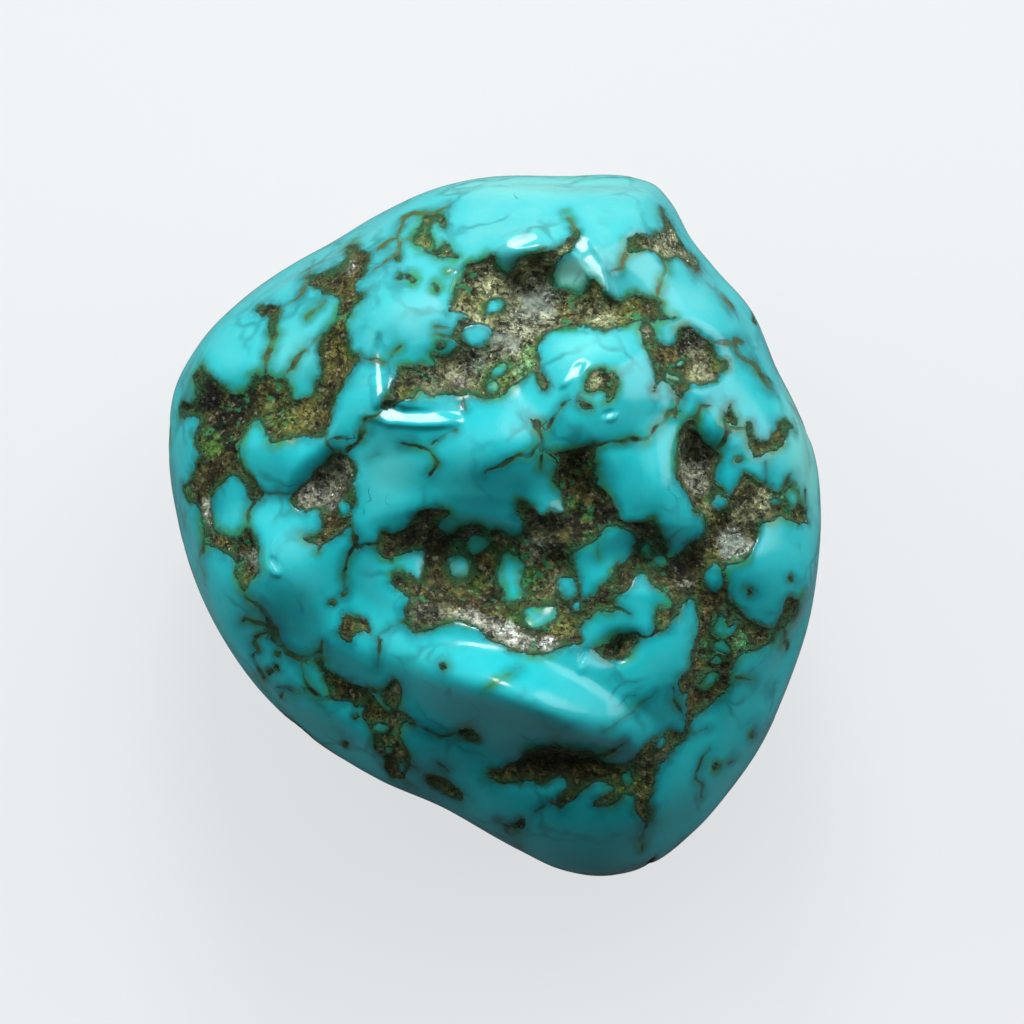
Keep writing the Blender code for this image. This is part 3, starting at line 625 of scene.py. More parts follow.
# Hairlines are folds in the turquoise that hold only a trace of brown or green. They are
# kept apart from the veins only because they are drawn more faintly.
HAIRLINES = (
    ((-4.9, -4.75, 0.1), (-4.4, -4.35, 0.12), (-3.9, -4.1, 0.1)),
    ((1.15, -5.9, 0.1), (0.6, -6.3, 0.16), (-0.4, -6.9, 0.08)),
    ((6.9, -7.1, 0.06), (5.8, -7.9, 0.08), (4.6, -8.8, 0.06)),
    ((4.45, -0.8, 0.08), (4.45, -1.3, 0.06)),
    ((-5.05, 3, 0.08), (-5.4, 2.8, 0.06)),
    ((3.95, 5.75, 0.16), (3.6, 5.6, 0.14), (3.5, 5.3, 0.1)),
    ((13.85, -0.5, 0.12), (13.75, -1.6, 0.14), (13.9, -2.2, 0.1)),
)
# Dots of matrix, by their middles.
DOTS = (
    (-9.65, -6.3), (-9.3, -6.05), (-9.2, -5.45), (-6.4, -9.3), (-2.25, -5.9), (-5.9, -8.1), (12.63, -2.3),
    (10.9, -2.8), (9.45, -10.3), (12.1, -7.1), (-6.9, -3.2), (-2.3, 7.7), (-4.03, 10.6), (-3.66, 10.65),
    (-3.5, 10.5), (-2.5, 10.17), (10.4, 2.84), (12.6, 1.7), (-4.17, 11.45), (-6.18, 12.35),
)
MATRIX = (
    WEST_RIVER, WEST_HOLE, NORTH_WEST_HEAD, RIVER_PIT, SOUTH_WEST_BAND, SOUTH_WEST_EYE,
    CROWN_HOLLOW, CORNER_GROOVE, OLIVE_PATCH, BOSS_PATCH, BOSS_FLECK, EAST_PIT,
    EAST_HORSESHOE, TOOTH, SMALL_PIT, EAST_BLOT, MIDDLE_AND_EAST, *BLOTS.values(),
)
print(len(MATRIX), "patches,", len(ISLANDS) + len(BEADS), "islands,", len(VEINS), "veins")

# %% [markdown]
# ## How deep in the matrix a point lies
#
# One number serves both the colour and the carving: the signed distance to the nearest
# outline, in millimetres, minus inside the matrix and plus in the turquoise. For a polygon it
# is the distance to its nearest side, and a point is inside when a line to its right crosses
# the sides an odd number of times. For a vein it is the distance to its line less half its
# width. Islands are polygons turned inside out.

# %% Signed distances
FAR = 1.5            # distances are only worked out this close to an outline
CHUNK = 4000         # points handled at once, to keep the arrays small


def rounded(outline):
    """Corners cut once: every side keeps its middle half, so each corner becomes two."""
    here = np.array(outline)
    ahead = np.roll(here, -1, axis=0)
    return np.stack([0.75 * here + 0.25 * ahead, 0.25 * here + 0.75 * ahead], 1).reshape(-1, 2)


def side_distance(plan, start, end):
    """Distance from each plan point to its nearest side, seen from above.

    The point's foot on the side's line is share t of the way along, kept between the ends.
    """
    best = np.full(len(plan), FAR)
    run = end - start
    length = np.maximum((run ** 2).sum(axis=1), 1e-12)
    for first in range(0, len(plan), CHUNK):
        some = plan[first:first + CHUNK, None, :]
        t = np.clip(((some - start) * run).sum(axis=2) / length, 0.0, 1.0)
        gap = np.linalg.norm(some - start - t[:, :, None] * run, axis=2)
        best[first:first + CHUNK] = gap.min(axis=1)
    return best


def is_inside(plan, start, end):
    """True where a line to the right crosses the sides an odd number of times."""
    odd = np.zeros(len(plan), bool)
    for first in range(0, len(plan), CHUNK):
        some = plan[first:first + CHUNK, None, :]
        spans = (start[:, 1] > some[:, :, 1]) != (end[:, 1] > some[:, :, 1])
        rise = np.where(end[:, 1] == start[:, 1], 1e-9, end[:, 1] - start[:, 1])
        cross = start[:, 0] + (some[:, :, 1] - start[:, 1]) * (end[:, 0] - start[:, 0]) / rise
        odd[first:first + CHUNK] = (spans & (some[:, :, 0] < cross)).sum(axis=1) % 2 == 1
    return odd


def patch_distance(plan, outline):
    """Signed distance to one outline: minus inside it, FAR where it is not near."""
    start = rounded(outline)
    end = np.roll(start, -1, axis=0)
    near = ((plan > start.min(axis=0) - FAR) & (plan < start.max(axis=0) + FAR)).all(axis=1)
    distance = np.full(len(plan), FAR)
    gap = side_distance(plan[near], start, end)
    distance[near] = np.where(is_inside(plan[near], start, end), -gap, gap)
    return distance


def vein_lines(plan, lines):
    """For each point its nearest vein: rim gap, side and width.

    The gap is the distance to the line less half the width there. The side is the distance
    with a sign, plus on the line's left hand, so that it runs straight through zero on the
    line itself and can be read exactly between the points of a coarse mesh.
    """
    gap, side, wide = np.full(len(plan), FAR), np.full(len(plan), FAR), np.zeros(len(plan))
    for line in lines:
        line = np.array(line)
        start, end, width = line[:-1, :2], line[1:, :2], line[:, 2]
        run = end - start
        low, high = line[:, :2].min(axis=0) - FAR, line[:, :2].max(axis=0) + FAR
        near = np.flatnonzero(((plan > low) & (plan < high)).all(axis=1))
        some = plan[near, None, :] - start
        t = np.clip((some * run).sum(axis=2) / (run ** 2).sum(axis=1), 0.0, 1.0)
        away = np.linalg.norm(some - t[:, :, None] * run, axis=2)
        across = width[:-1] + t * (width[1:] - width[:-1])
        pick = (away - 0.5 * across).argmin(axis=1)
        row = np.arange(len(near))
        left = run[pick, 0] * some[row, pick, 1] - run[pick, 1] * some[row, pick, 0]
        away, across = away[row, pick], across[row, pick]
        closer = away - 0.5 * across < gap[near]
        at = near[closer]
        gap[at] = (away - 0.5 * across)[closer]
        side[at] = np.where(left < 0.0, -away, away)[closer]
        wide[at] = across[closer]
    return gap, side, wide


def bead_distance(plan):
    """Distance to the nearest bead's rim: (distance in radii - 1) * its mean radius."""
    distance = np.full(len(plan), FAR)
    for bead in BEADS:
        radii = oval_radii(plan[:, 0], plan[:, 1], *bead)
        distance = np.minimum(distance, (radii - 1.0) * 0.5 * (bead[2] + bead[3]))
    return distance


# %% [markdown]
# ## Noise that belongs to the stone
#
# Nature never draws a clean line, so the outlines are shaken a little, and the sides and the
# back, which nobody drew, grow their own nodules. Both need noise that stays with the stone
# and comes out the same each time. It is worked out from whole numbers: every small cube of
# space gets a fixed random number from its own three coordinates.

# %% Mottle and seeds
HASH_RANGE = 2 ** 32
AXIS_PRIMES = (73856093, 19349663, 83492791)
SALT_PRIME = 2654435761
STIR_PRIME = np.uint64(2246822519)
LAST_PRIME = np.uint64(3266489917)


def hashed(cell, salt):
    """A fixed number from 0 to 1 for each whole-number cell, by multiplying and shifting.

    The salt is any whole number, and each noise has its own, so that no two are alike.
    """
    low_bits = np.uint64(HASH_RANGE - 1)
    mixed = np.full(cell.shape[:-1], salt * SALT_PRIME % HASH_RANGE, np.uint64)
    for axis, prime in enumerate(AXIS_PRIMES):
        mixed ^= (cell[..., axis].astype(np.uint64) * np.uint64(prime)) & low_bits
        mixed = (mixed ^ (mixed >> np.uint64(15))) * STIR_PRIME & low_bits
    mixed = (mixed ^ (mixed >> np.uint64(13))) * LAST_PRIME & low_bits
    return (mixed ^ (mixed >> np.uint64(16))).astype(float) / HASH_RANGE


def mottle(points, pitch, salt):
    """Smooth noise from 0 to 1: the cube corners' numbers, blended by smooth_step."""
    place = points / pitch
    corner = np.floor(place).astype(np.int64)
    blend = smooth_step(place - corner)
    total = np.zeros(len(points))
    for step in np.ndindex(2, 2, 2):
        share = np.where(step, blend, 1.0 - blend).prod(axis=1)
        total += share * hashed(corner + np.array(step), salt)
    return total


def nearest_two(points, pitch, salt):
    """Distances to the nearest and second nearest seed, one seed straying in each cube."""
    corner = np.floor(points / pitch).astype(np.int64)
    first = np.full(len(points), np.inf)
    second = first.copy()
    for step in np.ndindex(3, 3, 3):
        cell = corner + np.array(step) - 1
        stray = np.stack([hashed(cell, salt + axis) for axis in range(3)], axis=1)
        gap = np.linalg.norm(points - (cell + stray) * pitch, axis=1)
        second = np.where(gap < first, first, np.minimum(second, gap))
        first = np.minimum(first, gap)
    return first, second


def shaken(points, pitch, reach, salt):
    """Points moved by up to half of reach along each axis, by three mottles."""
    shake = np.stack([mottle(points, pitch, salt + axis) for axis in range(3)], axis=1)
    return points + reach * (shake - 0.5)


# %% [markdown]
# Nodules grow like foam: each starts at a seed and spreads until it meets its neighbours, and
# the host rock is what is left between them. So the distance to a wall is half the difference
# between the distances to the two nearest seeds. Where the rock is plentiful the walls are
# thick and the nodules small; elsewhere they thin out to nothing.

# %% Grown nodules for the sides and the back
WALL_MOTTLE = 0.1        # unevenness of the walls' thickness, in mm


def foam_distance(points, wandering, plenty, pitch, salt, thickest, thinner, start, span,
                  mottle_pitch, mottle_salt):
    """Distance to the walls of one foam: half of (second - first distance) less the thickness.

    The thickness grows with the plenty of rock, from start over the span, up to the thickest.
    """
    first, second = nearest_two(wandering, pitch, salt)
    thick = thickest * smooth_step((plenty - start) / span) - thinner
    return 0.5 * (second - first) - thick - WALL_MOTTLE * mottle(points, mottle_pitch, mottle_salt)


def grown_distance(points):
    """Signed distance to the matrix among nodules of two sizes, minus inside the matrix."""
    wandering = shaken(shaken(points, pitch=2.6, reach=2.4, salt=11), pitch=0.9, reach=0.5, salt=17)
    plenty = mottle(points, pitch=5.2, salt=23)
    plenty += 0.35 * (mottle(points, pitch=1.9, salt=29) - 0.5)
    large = foam_distance(points, wandering, plenty, pitch=5.4, salt=31, thickest=0.75,
                          thinner=0.02, start=0.42, span=0.5, mottle_pitch=1.1, mottle_salt=37)
    small = foam_distance(points, wandering, plenty, pitch=2.1, salt=41, thickest=0.45,
                          thinner=0.16, start=0.5, span=0.35, mottle_pitch=0.8, mottle_salt=43)
    return np.minimum(large, small)


# %% [markdown]
# The drawn pattern is right where it is seen from above. Down the flanks it would smear, as
# paint does when it runs, so it gives way to the grown nodules just before the girdle.

# %% The pattern at every point of the skin, in millimetres
EDGE_FADE = (0.95, 0.995)    # share of the outline's radius where the drawing gives way
MATRIX_SHAKE = 0.17
VEIN_WANDER = 0.18
DOT_RADIUS = 0.11
HAIRLINE_STRENGTH = 0.25
THIN_VEIN_STRENGTH = 0.62
THIN_VEIN = 0.08             # a vein no wider than this has the strength above
WHOLE_VEIN = 0.26            # and from this width on a vein has its whole strength
RIM_THINNING = 0.3           # how much narrower the matrix is on the upper flank
FLANK_FROM = -0.35           # height share where that thinning starts, on the lower flank
FLANK_SPAN = 0.5
FAINT_VEIN_GAP = 0.3         # how much further off a vein seems whose strength is nothing


def pattern(points, up):
    """At each point the signed distance to the matrix, and the nearest vein's gap, side,
    width and strength.

    The matrix is the nearest patch less the islands and the beads, plus the dots. Towards
    the girdle the drawn distance is blended into the grown one.
    """
    loose = shaken(points, pitch=0.5, reach=MATRIX_SHAKE, salt=53)
    plan = loose[:, :2]
    drawn = np.full(len(points), FAR)
    for outline in MATRIX:
        drawn = np.minimum(drawn, patch_distance(plan, outline))
    for island in ISLANDS:
        drawn = np.maximum(drawn, -patch_distance(plan, island))
    drawn = np.maximum(drawn, -bead_distance(plan))
    dot = np.array(DOTS)
    drawn = np.minimum(drawn, side_distance(plan, dot, dot) - DOT_RADIUS)
    azimuth = np.arctan2(points[:, 1], points[:, 0])
    share = np.hypot(points[:, 0], points[:, 1]) / outline_radius(azimuth)
    away = smooth_step((share - EDGE_FADE[0]) / (EDGE_FADE[1] - EDGE_FADE[0]))
    away = np.where(up > 0.0, away, 1.0)
    grown = grown_distance(points) + RIM_THINNING * smooth_step((up - FLANK_FROM) / FLANK_SPAN)
    edge = drawn + away * (grown - drawn)
    plan = shaken(loose, pitch=0.75, reach=VEIN_WANDER, salt=59)[:, :2]
    veins, folds = vein_lines(plan, VEINS), vein_lines(plan, HAIRLINES)
    is_vein = veins[0] < folds[0]
    gap, side, width = (np.where(is_vein, v, f) for v, f in zip(veins, folds))
    wider = smooth_step((width - THIN_VEIN) / (WHOLE_VEIN - THIN_VEIN))
    strong = THIN_VEIN_STRENGTH + (1.0 - THIN_VEIN_STRENGTH) * wider
    return edge, gap + away, side, width, np.where(is_vein, strong, HAIRLINE_STRENGTH)


plain = skin(directions)
edge, vein, vein_side, vein_width, vein_strength = pattern(plain, directions[:, 2])
nodule = np.minimum(edge, vein + FAINT_VEIN_GAP * (1.0 - vein_strength))
print("matrix covers", round(100 * float((edge < 0).mean())), "% of the points")

# %% [markdown]
# ## Worn flats
#
# A rounded stone that has rubbed against others carries small flats along its ridges, and
# they are what flashes. A flat flashes when it faces half way between the window and the eye,
# so they are all cut to that one slope. Each keeps the height that the skin has at its middle.

# %% The flats that catch the window
# Centre x and y, half length, half width and the turn of its length.
FLATS = (
    (1.2, 12.25, 1.2, 0.5, 18), (4.25, 10.95, 1.9, 0.55, -62), (3.7, 12.0, 0.6, 0.6, 0),
    (-1.45, 10.5, 0.75, 0.25, 63), (-4.95, 6.5, 1.9, 0.36, 88), (-3.4, 4.6, 2.5, 0.5, -4),
    (-4.4, 4.75, 0.7, 0.6, 0), (3.3, 6.45, 0.95, 0.3, 45), (4.9, 4.7, 0.42, 0.3, 15),
    (-9.4, -1.7, 0.6, 0.36, -60), (3.8, -5.7, 0.7, 0.26, 75),
)
WINDOW_WAY = (-0.03, 0.81, 0.59)     # from the stone to the window
FLATNESS = 0.92
FLAT_RIM = 0.5           # share of each flat's radius where it blends into the skin


def flattened(points, up):
    """The face's points drawn towards the flats: z moves to the plane through its middle."""
    half_way = np.array(WINDOW_WAY) / np.linalg.norm(WINDOW_WAY) + (0.0, 0.0, 1.0)
    slope = -half_way[:2] / half_way[2]
    flat = points.copy()
    front = np.flatnonzero(up > 0.0)
    for oval in FLATS:
        radii = oval_radii(flat[front, 0], flat[front, 1], *oval)
        share = FLATNESS * smooth_step((1.0 - radii) / FLAT_RIM)
        offset = flat[front, :2] - oval[:2]
        middle = front[np.argmin((offset ** 2).sum(axis=1))]
        plane = flat[middle, 2] + offset @ slope
        flat[front, 2] += share * (plane - flat[front, 2])
    return flat


worn = flattened(plain, directions[:, 2])
print(len(FLATS), "flats, deepest cut", round(float(np.abs(worn - plain).max()), 2), "mm")

# %% [markdown]
# ## Carving
#
# Tumbling polishes the turquoise and plucks the softer matrix out from between it. So the
# matrix lies nearly a tenth of a millimetre lower, and in the named pits much lower, with a
# crumbly floor. The turquoise rounds over where it meets it. The carving moves each point
# along the skin's own normal.

# %% Pits, floors and lips
# Pits in the matrix: centre x, y, half length, half width, turn, depth and flank.
PITS = {
    "crown floor": (1.5, 9.8, 2.6, 1.2, -5, 0.5, 0.8),
    "crown arm": (5.0, 9.2, 2.4, 0.9, 5, 0.4, 0.8),
    "crown slot": (1.7, 11.2, 0.7, 0.4, 10, 0.35, 0.9),
    "crown south": (0.2, 7.9, 1.8, 0.9, 10, 0.3, 0.9),
    "west arm": (-1.6, 6.7, 2.0, 0.9, 8, 0.45, 0.8),
    "arm hole": (-3.4, 6.3, 0.8, 0.5, 20, 0.5, 0.8),
    "middle west": (-1.9, -0.9, 1.8, 0.7, -5, 0.4, 0.9),
    "middle east": (2.9, 0.1, 2.4, 1.0, 10, 0.55, 0.8),
    "middle floor": (-1.0, -2.8, 2.6, 1.6, -8, 0.35, 0.8),
    "floor east": (2.2, -2.3, 1.3, 1.5, 0, 0.35, 0.9),
    "upper slot": (3.4, 2.2, 0.9, 1.4, 0, 0.45, 0.9),
    "oval pit": (8.7, 2.9, 0.9, 1.7, 5, 0.6, 0.7),
    "east slot": (8.0, -1.8, 1.9, 0.8, 0, 0.5, 0.8),
    "quartz pocket": (10.2, -0.8, 0.9, 0.8, 0, 0.3, 0.8),
    "east pit": (8.8, 7.6, 1.0, 0.8, 0, 0.45, 0.8),
    "lower east pit": (8.7, 6.5, 0.9, 0.5, 0, 0.35, 0.8),
    "small pit": (5.2, -5.1, 0.9, 0.6, 10, 0.5, 0.7),
    "river pit": (-7.3, 1.3, 1.2, 1.1, 0, 0.5, 0.8),
    "river pit top": (-6.7, 2.4, 0.7, 0.8, 0, 0.4, 0.8),
    "river bed": (-7.1, 8.0, 3.4, 0.8, 75, 0.25, 0.9),
    "west hole": (-10.6, -1.3, 0.6, 1.4, 0, 0.65, 0.7),
    "west band": (-11.0, 4.3, 2.6, 1.5, 15, 0.35, 0.9),
    "south hollow": (2.6, -10.3, 3.0, 0.7, -3, 0.4, 0.8),
    "south corner": (5.6, -10.8, 1.2, 0.8, 0, 0.3, 0.8),
    "south west band": (-5.6, -7.3, 2.2, 0.6, -32, 0.3, 0.8),
    "south west slot": (-4.5, -9.4, 0.6, 1.7, 0, 0.25, 0.8),
    "east gully": (8.9, -6.2, 0.8, 3.4, 3, 0.25, 0.8),
    "corner groove": (7.6, 12.2, 1.8, 0.7, -40, 0.35, 0.8),
    "mossy corner": (12.6, 0.6, 0.9, 0.7, 0, 0.25, 0.8),
}
# Lumps of quartz that stand up from the floor have a negative depth.
QUARTZ_LUMPS = {
    "crown lump": (1.85, 9.62, 1.15, 0.42, -12, -0.22, 0.9),
    "crown second": (0.5, 7.9, 0.75, 0.38, 15, -0.16, 0.9),
    "pocket lump": (10.2, -0.85, 0.8, 0.45, 45, -0.14, 0.9),
    "hole lump": (-10.35, -1.5, 0.18, 0.4, 0, -0.3, 0.8),
}
# All in millimetres, but for the shares.
MATRIX_STEP = 0.08       # how far the matrix lies below the polish
STEP_WIDTH = 0.14        # how wide the wall between them is
LIP = 0.02               # how far the polish rounds down at its rim
LIP_WIDTH = 0.25
VEIN_GROOVE = 0.02
GROOVE_REACH = 0.08      # how far from the vein's rim its groove begins
GROOVE_WIDTH = 0.12
PIT_SHARE = 0.6          # how much of each pit's depth is cut
PIT_FLANK = 0.75         # how far in from its border a pit is fully deep
CRUMB_RELIEF = 0.14      # unevenness of the matrix floor
CRUMB_FLANK = 0.3        # how far in from the border the floor is fully uneven
CRUMB_PITCH = 0.5        # size of the crumbs, and of the finer ones on them
FINE_CRUMB_PITCH = 0.27
SIDE_PIT = 0.45          # depth of the widest matrix patches of the sides and the back
SIDE_PIT_FLANK = 1.2
SIDE_PIT_BELOW = 0.3     # height share below which the side pits come in


def outward(points, corners):
    """Unit normals at the points: the sum of the normals of the triangles round each one."""
    a, b, c = (points[corners[:, k]] for k in range(3))
    flat = np.cross(b - a, c - a)
    total = np.stack([
        sum(np.bincount(corners[:, k], flat[:, axis], len(points)) for k in range(3))
        for axis in range(3)
    ], axis=1)
    return total / np.linalg.norm(total, axis=1)[:, None]


def carved(points, corners, up):
    """The skin cut down along its normals: step, pits, crumbs, lips and vein grooves."""
    inward = np.maximum(-edge, 0.0)
    front = up > 0.0
    pits = np.where(front, ovals(points[:, 0], points[:, 1], PITS), 0.0)
    aside = np.where(front, smooth_step((SIDE_PIT_BELOW - up) / SIDE_PIT_BELOW), 1.0)
    pits += SIDE_PIT * aside * smooth_step(inward / SIDE_PIT_FLANK)
    first, second = nearest_two(points, CRUMB_PITCH, salt=61)
    crumbs = 0.6 * smooth_step((second - first) / 0.3) + 0.4 * mottle(points, pitch=0.9, salt=67)
    fine, _ = nearest_two(points, FINE_CRUMB_PITCH, salt=71)
    floor = crumbs - 0.5 + 0.5 * (0.5 - fine / FINE_CRUMB_PITCH)
    inside = smooth_step(inward / STEP_WIDTH)
    down = MATRIX_STEP * inside + PIT_SHARE * pits * smooth_step(inward / PIT_FLANK)
    lumps = ovals(points[:, 0], points[:, 1], QUARTZ_LUMPS)
    down += smooth_step(inward / CRUMB_FLANK) * (np.where(front, lumps, 0.0) - CRUMB_RELIEF * floor)
    down += LIP * (1.0 - smooth_step(np.maximum(edge, 0.0) / LIP_WIDTH))
    groove = smooth_step((GROOVE_REACH - vein) / GROOVE_WIDTH)
    down += VEIN_GROOVE * vein_strength * groove * (1.0 - inside)
    return points - down[:, None] * outward(points, corners)


stone = carved(worn, triangles, directions[:, 2])
foot = plain[:, 2].min() + FOOT_CUT
stone[:, 2] = np.maximum(stone[:, 2] - foot, 0.0)
stone[:, :2] -= 0.5 * (plain[:, :2].min(axis=0) + plain[:, :2].max(axis=0))
stone[:, :2] += STONE_BOX[:, :2].mean(axis=0) / MM
print("dressed stone in mm:", np.round(np.ptp(stone, axis=0), 2).tolist())
